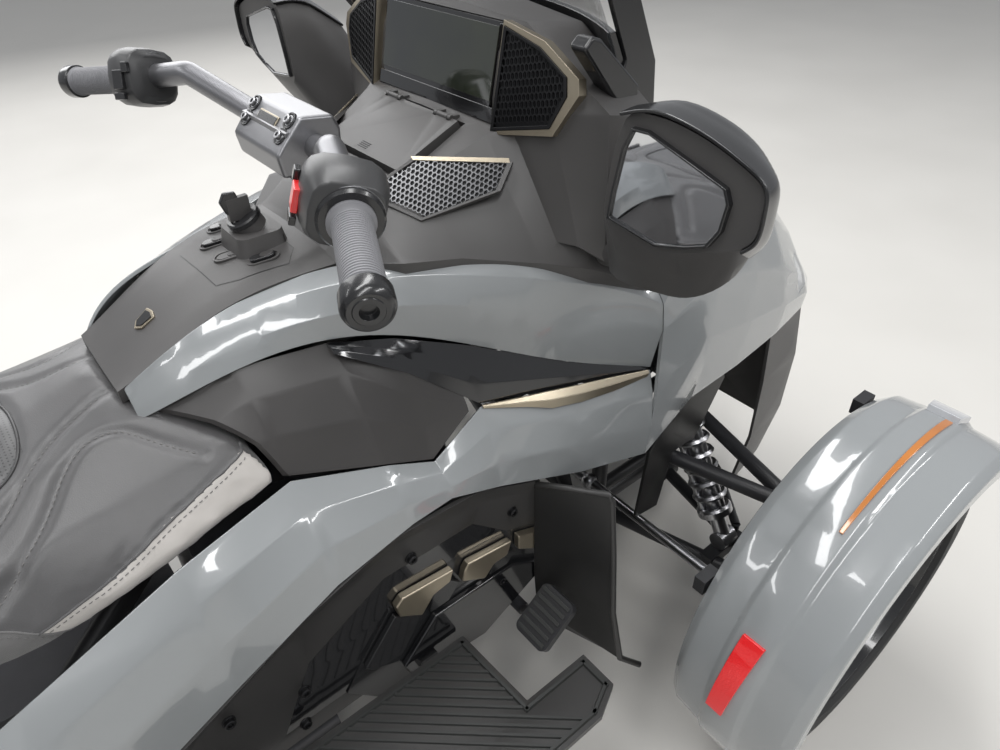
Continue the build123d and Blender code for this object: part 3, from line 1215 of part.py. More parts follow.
def shrink(outline, wall):
    """A closed outline drawn in by the wall on every side."""
    mid_y = sum(y for y, z in outline) / len(outline)
    mid_z = sum(z for y, z in outline) / len(outline)
    inner = []
    for y, z in outline:
        inner.append((y + math.copysign(wall, mid_y - y), z + math.copysign(wall, mid_z - z)))
    return inner


case_outer = solid_through(SIDE_CASE, ruled=True)
hollow = [(x, shrink(outline, CASE_WALL)) for x, outline in SIDE_CASE]
hollow[0] = (hollow[0][0] - CASE_WALL, hollow[0][1])
hollow[-1] = (hollow[-1][0] + CASE_WALL, hollow[-1][1])
case_inner = solid_through(hollow, ruled=True)
SIDE_BARREL_R = 4.5
SIDE_HINGES = [Vector(x, SIDE_SPLIT_Y + 2, 436.0) for x in (-1030, -850)]
with BuildPart() as case_base:
    add(case_outer)
    block((-1400, -500), (SIDE_SPLIT_Y, 600), (300, 1000), Mode.SUBTRACT)
    add(case_inner, mode=Mode.SUBTRACT)
    for pin in SIDE_HINGES:
        hinge_ears(pin, LENGTHWAYS, SIDE_BARREL_R)
        for span in ear_spans(pin.X):
            block(span, (pin.Y - 14, pin.Y - 2.5), (pin.Z - 4, pin.Z + 8))
with BuildPart() as side_case_lid_left:
    add(case_outer)
    block((-1400, -500), (0, SIDE_SPLIT_Y + SEAT_GAP), (300, 1000), Mode.SUBTRACT)
    add(case_inner, mode=Mode.SUBTRACT)
    for pin in SIDE_HINGES:
        hinge_barrel(pin, LENGTHWAYS, SIDE_BARREL_R)
        block((pin.X - HINGE_HALF, pin.X + HINGE_HALF), (pin.Y - 1, pin.Y + 4), (pin.Z, pin.Z + 9))
        hinge_bore(pin, LENGTHWAYS, SIDE_BARREL_R)
with BuildPart() as side_case_lid_right:
    add(side_case_lid_left.part.mirror(Plane.XZ))

TOP_SPLIT_Z = 1004.0


def case_level(z, half, rear, front, corner):
    """Rounded plan outline of the top case at a height."""
    with BuildSketch(Plane.XY.offset(z)) as level:
        with Locations(((rear + front) / 2, 0)):
            RectangleRounded(front - rear, 2 * half, corner)
    return level.sketch.face()


BASE_LEVELS = [(CASE_LOW_Z, 230, -1340, -860, 60), (TOP_SPLIT_Z, 290, -1412, -850, 70)]
LID_LEVELS = [(TOP_SPLIT_Z + SEAT_GAP, 290, -1412, -880, 70), (1110, 276, TAIL_X, -945, 70),
              (1178, 210, -1350, -1020, 70)]
TOP_BARREL_R = 5.0
TOP_HINGES = [Vector(-884.0, y, 1008.0) for y in (-170, 170)]
with BuildPart() as top_base:
    add(loft([case_level(*row) for row in BASE_LEVELS], ruled=True, mode=Mode.PRIVATE))
    add(loft([case_level(z + CASE_WALL, half - CASE_WALL, rear + CASE_WALL,
                         front - CASE_WALL, corner - CASE_WALL)
              for z, half, rear, front, corner in BASE_LEVELS],
             ruled=True, mode=Mode.PRIVATE), mode=Mode.SUBTRACT)
    block((-896, -852), (-222, 222), (994, 999))
    for pin in TOP_HINGES:
        hinge_ears(pin, ACROSS, TOP_BARREL_R)
        for span in ear_spans(pin.Y):
            block((pin.X - 4, pin.X + 4), span, (996, pin.Z))
with BuildPart() as top_case_lid:
    add(loft([case_level(*row) for row in LID_LEVELS], ruled=True, mode=Mode.PRIVATE))
    add(loft([case_level(z - CASE_WALL, half - CASE_WALL, rear + CASE_WALL,
                         front - CASE_WALL, corner - CASE_WALL)
              for z, half, rear, front, corner in LID_LEVELS],
             ruled=True, mode=Mode.PRIVATE), mode=Mode.SUBTRACT)
    for pin in TOP_HINGES:
        hinge_barrel(pin, ACROSS, TOP_BARREL_R)
        hinge_bore(pin, ACROSS, TOP_BARREL_R)
with BuildPart() as luggage_bases:
    add(case_base.part)
    mirror(about=Plane.XZ)
    add(top_base.part)
    add(rear_body.part, mode=Mode.SUBTRACT)
    add(passenger_seat.part, mode=Mode.SUBTRACT)
    add(frame.part, mode=Mode.SUBTRACT)
for name, piece in (("side_case_lid_left", side_case_lid_left), ("side_case_lid_right", side_case_lid_right),
                    ("top_case_lid", top_case_lid), ("luggage_bases", luggage_bases)):
    piece.part.label = name
    export_step(piece.part, f"parts/{name}.step")

with BuildPart() as tail_lights:
    for side in (-1, 1):
        low, high = sorted((side * 60, side * 190))
        block((-1322, -1300), (low, high), (770, 830))
    add(rear_body.part, mode=Mode.SUBTRACT)
tail_lights.part.label = "tail_lights"
export_step(tail_lights.part, "parts/tail_lights.step")

with BuildPart() as exhaust:
    rod((180, -202, 158), (180, -202, 190), 18.0)
    add(tube([(180, -219, 158), (-200, -219, 158), (-480, -235, 190), (-700, -250, 318)], 26.0, 70.0))
    rod((-690, -248, 312), (-1110, -292, 345), 58.0)
    add(frame.part, mode=Mode.SUBTRACT)
exhaust.part.label = "exhaust"
export_step(exhaust.part, "parts/exhaust.step")

# Perforated speaker grilles beside the display and beside the glovebox, in their bezels.
with BuildPart() as speaker_grilles:
    for side in (-1, 1):
        face = Plane(origin=(655, side * 205, 1092), x_dir=(0.35, -side * 0.94, 0),
                     z_dir=(-0.92, side * -0.33, 0.22))
        with BuildSketch(face):
            RegularPolygon(62, 6)
        extrude(amount=12)
    add(dash.part, mode=Mode.SUBTRACT)
speaker_grilles.part.label = "speaker_grilles"
export_step(speaker_grilles.part, "parts/speaker_grilles.step")
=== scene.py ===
import math

import bmesh
import bpy
from mathutils import Matrix, Vector
from mathutils.bvhtree import BVHTree


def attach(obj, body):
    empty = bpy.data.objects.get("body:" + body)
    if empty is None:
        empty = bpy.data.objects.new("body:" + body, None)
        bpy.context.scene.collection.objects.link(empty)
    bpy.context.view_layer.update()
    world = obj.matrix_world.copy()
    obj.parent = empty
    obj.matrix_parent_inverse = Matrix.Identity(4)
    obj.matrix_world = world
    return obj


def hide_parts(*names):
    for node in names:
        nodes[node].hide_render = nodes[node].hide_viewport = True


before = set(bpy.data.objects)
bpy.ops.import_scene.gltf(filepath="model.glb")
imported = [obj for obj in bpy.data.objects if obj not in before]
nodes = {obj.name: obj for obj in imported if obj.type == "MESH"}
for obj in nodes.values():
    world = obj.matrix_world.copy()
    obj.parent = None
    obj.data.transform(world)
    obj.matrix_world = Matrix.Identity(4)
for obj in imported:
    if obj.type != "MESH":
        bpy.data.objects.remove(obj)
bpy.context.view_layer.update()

# Camera: it looks down over the rider's right shoulder, at the height of someone standing beside
# the seat. Its place, turn and lens are those that fit the wheel, the display and the grips.
EYE = Vector((0.0117, -0.9081, 1.3535))
YAW = math.radians(51.54)
PITCH = math.radians(37.23)
ROLL = math.radians(1.51)
FOCAL_PIXELS = 729.9
IMAGE_WIDTH = 1000
SENSOR = 36.0

forward = Vector((math.cos(YAW) * math.cos(PITCH), math.sin(YAW) * math.cos(PITCH), -math.sin(PITCH)))
level_right = Vector((math.sin(YAW), -math.cos(YAW), 0.0))
level_down = forward.cross(level_right)
right = level_right * math.cos(ROLL) + level_down * math.sin(ROLL)
down = level_down * math.cos(ROLL) - level_right * math.sin(ROLL)
camera = bpy.data.objects.new("camera", bpy.data.cameras.new("camera"))
bpy.context.collection.objects.link(camera)
camera.data.sensor_width = SENSOR
camera.data.lens = SENSOR * FOCAL_PIXELS / IMAGE_WIDTH
camera.data.clip_start = 0.02
camera.matrix_world = Matrix((
    (right.x, -down.x, -forward.x, EYE.x),
    (right.y, -down.y, -forward.y, EYE.y),
    (right.z, -down.z, -forward.z, EYE.z),
    (0.0, 0.0, 0.0, 1.0),
))
bpy.context.scene.camera = camera
bpy.context.scene.view_settings.view_transform = "Standard"


# Studio: a pale floor under rows of ceiling lamps, which give the long soft reflections that show
# the shape of glossy paint, and one wide lamp to the left that puts a sheen on the charcoal covers.
def mesh_piece(name, points, faces, smooth=False):
    """A mesh object from points and faces, in metres."""
    mesh = bpy.data.meshes.new(name)
    mesh.from_pydata([tuple(p) for p in points], [], faces)
    mesh.validate()
    for face in mesh.polygons:
        face.use_smooth = smooth
    piece = bpy.data.objects.new(name, mesh)
    bpy.context.collection.objects.link(piece)
    return piece


def new_node(tree, kind, values=None):
    """A node of a kind, with values on its sockets."""
    made = tree.nodes.new(kind)
    for socket, value in (values or {}).items():
        made.inputs[socket].default_value = value
    return made


def finish(name, colour, shade, rough, gloss_drift=0.06, tone=0.15, grain_size=0.0008, grain=0.05,
           metal=0.0, coat=0.0):
    """A finish whose tone and gloss drift over the surface, with a fine grain in its relief."""
    material = bpy.data.materials.new(name)
    material.use_nodes = True
    tree = material.node_tree
    shader = tree.nodes["Principled BSDF"]
    place = new_node(tree, "ShaderNodeTexCoord")
    drift = new_node(tree, "ShaderNodeTexNoise", {"Scale": 1.0 / tone, "Detail": 5.0})
    colours = new_node(tree, "ShaderNodeValToRGB")
    for stop, position, value in zip(colours.color_ramp.elements, (0.3, 0.7), (shade, colour)):
        stop.position = position
        stop.color = (*value, 1.0)
    gloss = new_node(tree, "ShaderNodeMapRange",
                     {"To Min": max(0.02, rough - gloss_drift), "To Max": rough + gloss_drift})
    grains = new_node(tree, "ShaderNodeTexNoise", {"Scale": 1.0 / grain_size, "Detail": 3.0})
    relief = new_node(tree, "ShaderNodeBump", {"Strength": grain, "Distance": grain_size})
    tree.links.new(place.outputs["Object"], drift.inputs["Vector"])
    tree.links.new(place.outputs["Object"], grains.inputs["Vector"])
    tree.links.new(drift.outputs["Fac"], colours.inputs["Fac"])
    tree.links.new(colours.outputs["Color"], shader.inputs["Base Color"])
    tree.links.new(drift.outputs["Fac"], gloss.inputs["Value"])
    tree.links.new(gloss.outputs["Result"], shader.inputs["Roughness"])
    tree.links.new(grains.outputs["Fac"], relief.inputs["Height"])
    tree.links.new(relief.outputs["Normal"], shader.inputs["Normal"])
    shader.inputs["Metallic"].default_value = metal
    shader.inputs["Coat Weight"].default_value = coat
    shader.inputs["Coat Roughness"].default_value = 0.04
    return material


def dress(material, *names):
    """Gives CAD nodes their finish."""
    for name in names:
        for place in nodes[name].material_slots:
            place.material = material


def area_lamp(name, place, length, width, power):
    """A rectangular lamp that faces down."""
    light = bpy.data.lights.new(name, "AREA")
    light.shape = "RECTANGLE"
    light.size = length
    light.size_y = width
    light.energy = power
    lamp = bpy.data.objects.new(name, light)
    lamp.location = place
    bpy.context.collection.objects.link(lamp)
    return lamp


FLOOR_HALF = 14.0
floor = mesh_piece("floor", [(-FLOOR_HALF, -FLOOR_HALF, 0), (FLOOR_HALF, -FLOOR_HALF, 0),
                             (FLOOR_HALF, FLOOR_HALF, 0), (-FLOOR_HALF, FLOOR_HALF, 0)], [(0, 1, 2, 3)])
floor.data.materials.append(finish("pale_floor", (0.575, 0.56, 0.53), (0.545, 0.53, 0.50), 0.42, tone=0.5))

world = bpy.data.worlds.new("studio")
world.use_nodes = True
world.node_tree.nodes["Background"].inputs["Color"].default_value = (0.80, 0.82, 0.85, 1.0)
world.node_tree.nodes["Background"].inputs["Strength"].default_value = 0.50
bpy.context.scene.world = world

ROW_TURN = math.radians(25.0)
LAMP_ROWS = [
    # place, length, width, power
    ((-1.6, -2.6, 3.6), 5.0, 0.5, 92.0),
    ((0.8, 0.6, 3.8), 5.0, 0.6, 108.0),
    ((3.0, -3.0, 3.6), 4.0, 0.5, 112.0),
    ((-3.5, 2.5, 3.6), 4.0, 0.5, 66.0),
]
for index, (place, length, width, power) in enumerate(LAMP_ROWS):
    area_lamp(f"ceiling_lamp_{index}", place, length, width, power).rotation_euler = (0.0, 0.0, ROW_TURN)
wide_lamp = area_lamp("wide_lamp", (1.2, 4.4, 3.2), 4.6, 3.4, 170.0)
wide_lamp.rotation_euler = Vector((-0.8, -4.4, -2.4)).to_track_quat("-Z", "Y").to_euler()


# Frame, swing arm and suspension: steel tubes and plates, welded, under satin black powder coat.
# The knuckles are forgings with the same coat, as is the brake pedal's arm.
def smoothing(limit):
    """Geometry nodes that join doubled points and smooth the shading up to an angle in degrees."""
    tree = bpy.data.node_groups.new("smooth_by_angle", "GeometryNodeTree")
    tree.interface.new_socket("Geometry", in_out="INPUT", socket_type="NodeSocketGeometry")
    tree.interface.new_socket("Geometry", in_out="OUTPUT", socket_type="NodeSocketGeometry")
    start = new_node(tree, "NodeGroupInput")
    end = new_node(tree, "NodeGroupOutput")
    weld = new_node(tree, "GeometryNodeMergeByDistance", {"Distance": 0.00005})
    fold = new_node(tree, "GeometryNodeInputMeshEdgeAngle")
    sharp = new_node(tree, "FunctionNodeCompare", {"B": math.radians(limit)})
    sharp.operation = "GREATER_THAN"
    faces = new_node(tree, "GeometryNodeSetShadeSmooth")
    edges = new_node(tree, "GeometryNodeSetShadeSmooth", {"Shade Smooth": False})
    edges.domain = "EDGE"
    tree.links.new(start.outputs[0], weld.inputs["Geometry"])
    tree.links.new(weld.outputs["Geometry"], faces.inputs["Geometry"])
    tree.links.new(faces.outputs["Geometry"], edges.inputs["Geometry"])
    tree.links.new(fold.outputs["Unsigned Angle"], sharp.inputs["A"])
    tree.links.new(sharp.outputs["Result"], edges.inputs["Selection"])
    tree.links.new(edges.outputs["Geometry"], end.inputs[0])
    return tree


smooth_tree = smoothing(40.0)


def soften(piece, width, fold=32.0):
    """Rounds the edges of a piece and smooths its shading."""
    shading = piece.modifiers.new("smooth_shading", "NODES")
    shading.node_group = smooth_tree
    rounding = piece.modifiers.new("rounded_edges", "BEVEL")
    rounding.width = width
    rounding.segments = 2
    rounding.limit_method = "ANGLE"
    rounding.angle_limit = math.radians(fold)
    rounding.harden_normals = True
    rounding.miter_outer = "MITER_ARC"


def rounded(width, *names):
    """Rounds the edges of CAD nodes."""
    for name in names:
        soften(nodes[name], width)


COATED = ["frame", "swing_arm", "suspension_arms", "knuckle_left", "knuckle_right", "brake_pedal"]
powder_coat = finish("powder_coat", (0.022, 0.022, 0.024), (0.016, 0.016, 0.018), 0.42, grain=0.12)
dress(powder_coat, *COATED)
rounded(0.0012, *COATED)


# Engine and gearbox: aluminium castings, blasted, with a turned cover on each side that is held
# by a circle of eight socket-head bolts.
def row_faces(rows, count, closed=True, joined=False):
    """Faces from each row of points to the next; rows may be closed, and the last joined to the first."""
    faces = []
    for row in range(rows if joined else rows - 1):
        start = row * count
        after = (row + 1) % rows * count
        for cell in range(count if closed else count - 1):
            beside = (cell + 1) % count
            faces.append((start + cell, start + beside, after + beside, after + cell))
    return faces


def end_faces(rows, count):
    """A flat face over the first row of points and one over the last."""
    return [tuple(reversed(range(count))), tuple(range((rows - 1) * count, rows * count))]


def fixed(piece, material, body):
    """Gives a piece its finish and fixes it to its body."""
    piece.data.materials.append(material)
    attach(piece, body)
    return piece


def turned(name, start, way, profile, material, body, steps=32, ring=False):
    """A turned piece: a profile of (along, radius) about the axis from start in the direction of way,
    with flat ends, or closed on itself to a ring."""
    way = Vector(way).normalized()
    one = way.orthogonal().normalized()
    two = way.cross(one)
    points = []
    for along, radius in profile:
        for step in range(steps):
            turn = 2 * math.pi * step / steps
            spoke = (one * math.cos(turn) + two * math.sin(turn)) * radius
            points.append(Vector(start) + way * along + spoke)
    faces = row_faces(len(profile), steps, joined=ring)
    if not ring:
        faces += end_faces(len(profile), steps)
    piece = mesh_piece(name, points, faces)
    soften(piece, 0.0003, 50.0)
    return fixed(piece, material, body)


def bolt(name, place, way, size, material, body):
    """A socket-head bolt with its washer and a sunk socket, the seat at place."""
    return turned(name, place, way, [
        (-0.001, size * 1.25), (0.0008, size * 1.25), (0.0009, size), (size * 0.9, size),
        (size, size * 0.88), (size, size * 0.5), (size * 0.45, size * 0.48),
    ], material, body, steps=18)


cast_metal = finish("cast_metal", (0.20, 0.20, 0.21), (0.13, 0.13, 0.14), 0.5, metal=0.8, grain=0.25)
bolt_steel = finish("bolt_steel", (0.05, 0.05, 0.052), (0.03, 0.03, 0.032), 0.32, metal=0.9, grain=0.04)
dress(cast_metal, "engine")
rounded(0.006, "engine")
CRANK_X = 0.30
CRANK_Z = 0.34
BLOCK_HALF = 0.215
BOLT_CIRCLE_R = 0.105
COVER_BOLTS = 8
for side, label in ((1, "left"), (-1, "right")):
    face_y = side * BLOCK_HALF
    turned(f"engine_cover_{label}", (CRANK_X, face_y, CRANK_Z), (0, side, 0), [
        (-0.004, 0.118), (0.006, 0.118), (0.010, 0.112), (0.012, 0.098), (0.022, 0.090),
        (0.026, 0.080), (0.028, 0.040),
    ], cast_metal, "chassis", steps=48)
    for index in range(COVER_BOLTS):
        turn = math.radians(360 / COVER_BOLTS * index + 22)
        place = (CRANK_X + BOLT_CIRCLE_R * math.cos(turn), face_y + side * 0.010,
                 CRANK_Z + BOLT_CIRCLE_R * math.sin(turn))
        bolt(f"engine_bolt_{label}_{index}", place, (0, side, 0), 0.006, bolt_steel, "chassis")

# Dampers, tie rods and exhaust: the coil-over dampers' wound springs and the tie rods are bright
# steel, and the exhaust is a welded silencer of darker satin steel.
bright_steel = finish("bright_steel", (0.42, 0.42, 0.43), (0.32, 0.32, 0.33), 0.3, metal=1.0)
dress(bright_steel, "tie_rods", "shocks")
rounded(0.001, "tie_rods")
dark_steel = finish("dark_steel", (0.10, 0.10, 0.105), (0.06, 0.06, 0.065), 0.38, metal=0.9)
dress(dark_steel, "exhaust")
rounded(0.004, "exhaust")

# Drive belt: toothed rubber with cords moulded inside, run from the gearbox's pulley to the one
# on the rear wheel.
belt_rubber = finish("belt_rubber", (0.02, 0.02, 0.02), (0.013, 0.013, 0.013), 0.7, grain=0.2)
dress(belt_rubber, "drive_belt")
rounded(0.001, "drive_belt")


# Rims: cast alloy under gloss black, with ten spokes. The outlines of the spokes and the rim's
# lip are machined bright, and a cap is pressed over the hub.
rim_black = finish("rim_black", (0.012, 0.012, 0.013), (0.008, 0.008, 0.009), 0.18, coat=0.7)
machined = finish("machined_alloy", (0.60, 0.60, 0.61), (0.50, 0.50, 0.51), 0.22, metal=1.0, grain=0.03)
dress(rim_black, "front_rim_left", "front_rim_right", "rear_rim")
rounded(0.0012, "front_rim_left", "front_rim_right", "rear_rim")
BEAD_R = 0.191
SPOKES = 10
SPOKE_W = 0.020
LINE_W = 0.0022
LINE_H = 0.0008
HUB_LEFT = (0.946, 0.660, 0.281)
HUB_RIGHT = (0.946, -0.660, 0.281)
HUB_REAR = (-0.763, 0.0, 0.303)
WHEELS = [
    # name, centre, outer side, spoke face from the middle plane, hub radius, body
    ("front_left", HUB_LEFT, 1, 0.052, 0.044, "front_wheel_left"),
    ("front_right", HUB_RIGHT, -1, 0.052, 0.044, "front_wheel_right"),
    ("rear", HUB_REAR, 1, 0.085, 0.052, "rear_wheel"),
]
for name, centre, side, face_y, hub_r, body in WHEELS:
    ahead, up, out = Vector((1, 0, 0)), Vector((0, 0, 1)), Vector((0, side, 0))
    middle = Vector(centre) + out * face_y
    points = []
    faces = []
    for spoke in range(SPOKES):
        turn = 2 * math.pi * spoke / SPOKES
        ray = ahead * math.cos(turn) + up * math.sin(turn)
        cross = up * math.cos(turn) - ahead * math.sin(turn)
        for edge in (-1, 1):
            trail = [(hub_r - 0.004, SPOKE_W / 2), (BEAD_R - 0.043, SPOKE_W / 2), (BEAD_R - 0.021, 0.0165)]
            first = len(points)
            for reach, half in trail:
                for inset in (0.0, LINE_W):
                    spot = middle + ray * reach + cross * edge * (half - inset)
                    points += [spot - out * 0.001, spot + out * LINE_H]
            for step in (0, 4):
                a = first + step
                faces += [(a + 1, a + 3, a + 7, a + 5), (a, a + 1, a + 5, a + 4),
                          (a + 3, a + 2, a + 6, a + 7)]
    fixed(mesh_piece(f"spoke_lines_{name}", points, faces), machined, body)
    turned(f"rim_lip_{name}", Vector(centre) + out * (face_y + 0.012), out, [
        (0.000, 0.2062), (0.0015, 0.2066), (0.003, 0.2060), (0.003, 0.1990), (0.000, 0.1960),
        (-0.004, 0.1912), (-0.006, 0.1912), (-0.006, 0.1950)], machined, body, steps=96, ring=True)
    turned(f"hub_cap_{name}", middle, out, [
        (-0.002, hub_r - 0.010), (0.004, hub_r - 0.010), (0.007, hub_r - 0.014), (0.008, hub_r - 0.022),
        (0.008, 0.006)], rim_black, body, steps=40)

# Tyres: cured rubber with two grooves round the crown and slanted ones over the shoulders, seated
# on the rims' beads.
tyre_rubber = finish("tyre_rubber", (0.022, 0.022, 0.022), (0.014, 0.014, 0.014), 0.72, grain=0.2)
FLANGE_R = 0.206
TYRES = [
    # node, centre, radius, width, half the distance between the beads, body
    ("front_tyre_left", HUB_LEFT, 0.281, 0.165, 0.064, "front_wheel_left"),
    ("front_tyre_right", HUB_RIGHT, 0.281, 0.165, 0.064, "front_wheel_right"),
    ("rear_tyre", HUB_REAR, 0.303, 0.225, 0.097, "rear_wheel"),
]
TREAD_STEPS = 300
TREAD_REPEAT = 15
TREAD_CELL = 0.0032
SHOULDER_IN = 0.038
for node, centre, radius, width, seat_half, body in TYRES:
    half = width / 2
    shoulder = [(BEAD_R + 0.0003, seat_half - 0.001), (FLANGE_R + 0.001, seat_half + 0.003),
                (FLANGE_R + 0.008, half - 0.001), (FLANGE_R + 0.018, half), (FLANGE_R + 0.028, half),
                (radius - 0.030, half - 0.0015), (radius - 0.020, half - 0.003),
                (radius - 0.012, half - 0.008), (radius - 0.006, half - 0.016),
                (radius - 0.0025, half - 0.026), (radius, half - SHOULDER_IN)]
    crown = []
    span = half - SHOULDER_IN
    columns = int(span * 2 / 0.0035)
    for column in range(1, columns):
        crown.append((radius, span - 2 * span * column / columns))
    section = shoulder + crown + [(r, -y) for r, y in reversed(shoulder)]
    points = []
    for step in range(TREAD_STEPS):
        turn = 2 * math.pi * step / TREAD_STEPS
        for reach, y in section:
            depth = 0.0
            if reach > radius - 0.013:
                slant = (step + abs(y) / TREAD_CELL * 1.6) % TREAD_REPEAT
                if abs(abs(y) - span * 0.42) < 0.0035:
                    depth = 0.0055
                elif abs(y) > span * 0.55 and slant < 2.2:
                    depth = 0.005
                elif abs(y) < span * 0.3 and (step + y / TREAD_CELL) % TREAD_REPEAT < 1.2:
                    depth = 0.003
            spot = reach - depth
            points.append((centre[0] + spot * math.cos(turn), centre[1] + y,
                           centre[2] + spot * math.sin(turn)))
    faces = row_faces(TREAD_STEPS, len(section), joined=True)
    tyre = mesh_piece(f"treaded_{node}", points, faces)
    shading = tyre.modifiers.new("smooth_shading", "NODES")
    shading.node_group = smooth_tree
    tyre.data.materials.append(tyre_rubber)
    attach(tyre, body)
    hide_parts(node)

# Painted body panels: injection-moulded, in gloss blue-gray under clear lacquer. The luggage lids
# are the same, with broader rounded edges.
paint = finish("blue_gray_paint", (0.250, 0.262, 0.266), (0.236, 0.248, 0.252), 0.25, gloss_drift=0.02,
               tone=0.4, grain_size=0.002, grain=0.006, coat=1.0)
BODYWORK = ["tank_cover", "side_panels", "nose_shell", "trunk_lid", "fender_left", "fender_right",
            "rear_body"]
CASE_LIDS = ["side_case_lid_left", "side_case_lid_right", "top_case_lid"]
dress(paint, *BODYWORK, *CASE_LIDS)
rounded(0.0025, *BODYWORK)
rounded(0.010, *CASE_LIDS)

# Unpainted covers: moulded charcoal thermoplastic with a fine grain. The knee panels take a darker copy of
# it, and the lower panels and the footboards a darker one again: painted shade, deeper lower down.
charcoal = finish("charcoal_plastic", (0.066, 0.063, 0.062), (0.055, 0.053, 0.052), 0.44, grain_size=0.0007,
                  grain=0.16)
dress(charcoal, "console", "dash", "chin", "luggage_bases", "glovebox_lid", "trunk_tub")
# A darker copy of the charcoal for the knee panels: painted shade.
shaded_charcoal = finish("shaded_charcoal_plastic", (0.048, 0.045, 0.044), (0.040, 0.038, 0.037), 0.40,
                   grain_size=0.0007, grain=0.12)
dress(shaded_charcoal, "knee_panels")
# A darker copy again for the lower panels and the footboards: painted shade.
deep_shaded_charcoal = finish("deep_shaded_charcoal_plastic", (0.034, 0.033, 0.032), (0.027, 0.026, 0.0255), 0.40,
                    grain_size=0.0007, grain=0.16)
dress(deep_shaded_charcoal, "lower_panels", "footboards")
rounded(0.0025, "console", "dash", "knee_panels", "lower_panels", "chin", "luggage_bases", "trunk_tub")
rounded(0.004, "glovebox_lid")
rounded(0.0015, "footboards")

# Gloss covers and display: moulded acrylic, polished black, clipped into the side panels and
# the dash.
gloss_black = finish("gloss_black", (0.010, 0.010, 0.011), (0.007, 0.007, 0.008), 0.1, gloss_drift=0.03,
                     coat=0.8)
dress(gloss_black, "gloss_covers", "display")
rounded(0.002, "gloss_covers", "display")


# Fenders' lamps: on each fender an amber side strip, a clear front lamp and a red rear reflector,
# moulded in acrylic and bonded on.
def arc_plate(name, centre, radii, angles, spans, material, body, steps=18):
    """A curved plate about a wheel's axle: inner and outer radius, angles, and limits along the axle."""
    points = []
    low, high = radii
    for step in range(steps + 1):
        share = step / steps
        turn = math.radians(angles[0] + (angles[1] - angles[0]) * share)
        near = spans[0][0] + (spans[1][0] - spans[0][0]) * share
        far = spans[0][1] + (spans[1][1] - spans[0][1]) * share
        for reach, y in ((low, near), (high, near), (high, far), (low, far)):
            points.append((centre[0] + reach * math.cos(turn), y, centre[2] + reach * math.sin(turn)))
    piece = mesh_piece(name, points, row_faces(steps + 1, 4) + end_faces(steps + 1, 4))
    soften(piece, 0.001, 50.0)
    return fixed(piece, material, body)


amber = finish("amber_lens", (0.55, 0.20, 0.04), (0.40, 0.14, 0.03), 0.12, grain=0.01, coat=0.8)
clear = finish("clear_lamp", (0.55, 0.56, 0.58), (0.42, 0.43, 0.45), 0.10, grain=0.01, coat=0.9)
reflector_red = finish("reflector_red", (0.90, 0.012, 0.016), (0.74, 0.009, 0.012), 0.14, grain=0.25,
                       grain_size=0.003, coat=0.9)
FENDER_R = 0.345
for side, label, hub in ((1, "left", HUB_LEFT), (-1, "right", HUB_RIGHT)):
    body = f"knuckle_{label}"
    arc_plate(f"fender_amber_{label}", hub, (FENDER_R + 0.006, FENDER_R + 0.0105), (73, 121),
              ((side * 0.678, side * 0.690), (side * 0.682, side * 0.688)), amber, body)
    arc_plate(f"fender_lamp_{label}", hub, (FENDER_R + 0.006, FENDER_R + 0.017), (64, 71),
              ((side * 0.640, side * 0.698), (side * 0.646, side * 0.694)), clear, body, steps=4)
    arc_plate(f"fender_reflector_{label}", hub, (FENDER_R + 0.006, FENDER_R + 0.0125), (152, 176),
              ((side * 0.655, side * 0.690), (side * 0.648, side * 0.676)), reflector_red, body, steps=8)


# Trim strips: a satin champagne spear along each side, and three louvre plates over the engine's
# black side cover. All are plated mouldings, and the covers are held by screws.
def oblong(half_a, half_b):
    """The outline of a rectangle about its middle."""
    return [(-half_a, -half_b), (half_a, -half_b), (half_a, half_b), (-half_a, half_b)]


def slab(name, origin, one, two, outline, thick, material, body, width=0.0008):
    """A flat plate: its outline along two directions from the origin, raised by its thickness."""
    one = Vector(one).normalized()
    face = one.cross(Vector(two)).normalized()
    two = face.cross(one)
    count = len(outline)
    base = [Vector(origin) + one * a + two * b for a, b in outline]
    points = base + [p + face * thick for p in base]
    faces = [tuple(reversed(range(count))), tuple(range(count, 2 * count))]
    faces += [(i, (i + 1) % count, count + (i + 1) % count, count + i) for i in range(count)]
    piece = mesh_piece(name, points, faces)
    soften(piece, width, 40.0)
    return fixed(piece, material, body)


def ribbon(name, upper, lower, thick, way, material, body, width=0.0008):
    """A strip between an upper and a lower line of points, raised by its thickness in one direction."""
    lift = Vector(way).normalized() * thick
    count = len(upper)
    flat = [Vector(p) for p in upper] + [Vector(p) for p in lower]
    points = flat + [p + lift for p in flat]
    faces = []
    for i in range(count - 1):
        faces.append((i, i + 1, count + i + 1, count + i))
        faces.append((2 * count + i, 3 * count + i, 3 * count + i + 1, 2 * count + i + 1))
        faces.append((i, 2 * count + i, 2 * count + i + 1, i + 1))
        faces.append((count + i, count + i + 1, 3 * count + i + 1, 3 * count + i))
    faces.append((0, count, 3 * count, 2 * count))
    faces.append((count - 1, 3 * count - 1, 4 * count - 1, 2 * count - 1))
    piece = mesh_piece(name, points, faces)
    soften(piece, width, 40.0)
    return fixed(piece, material, body)


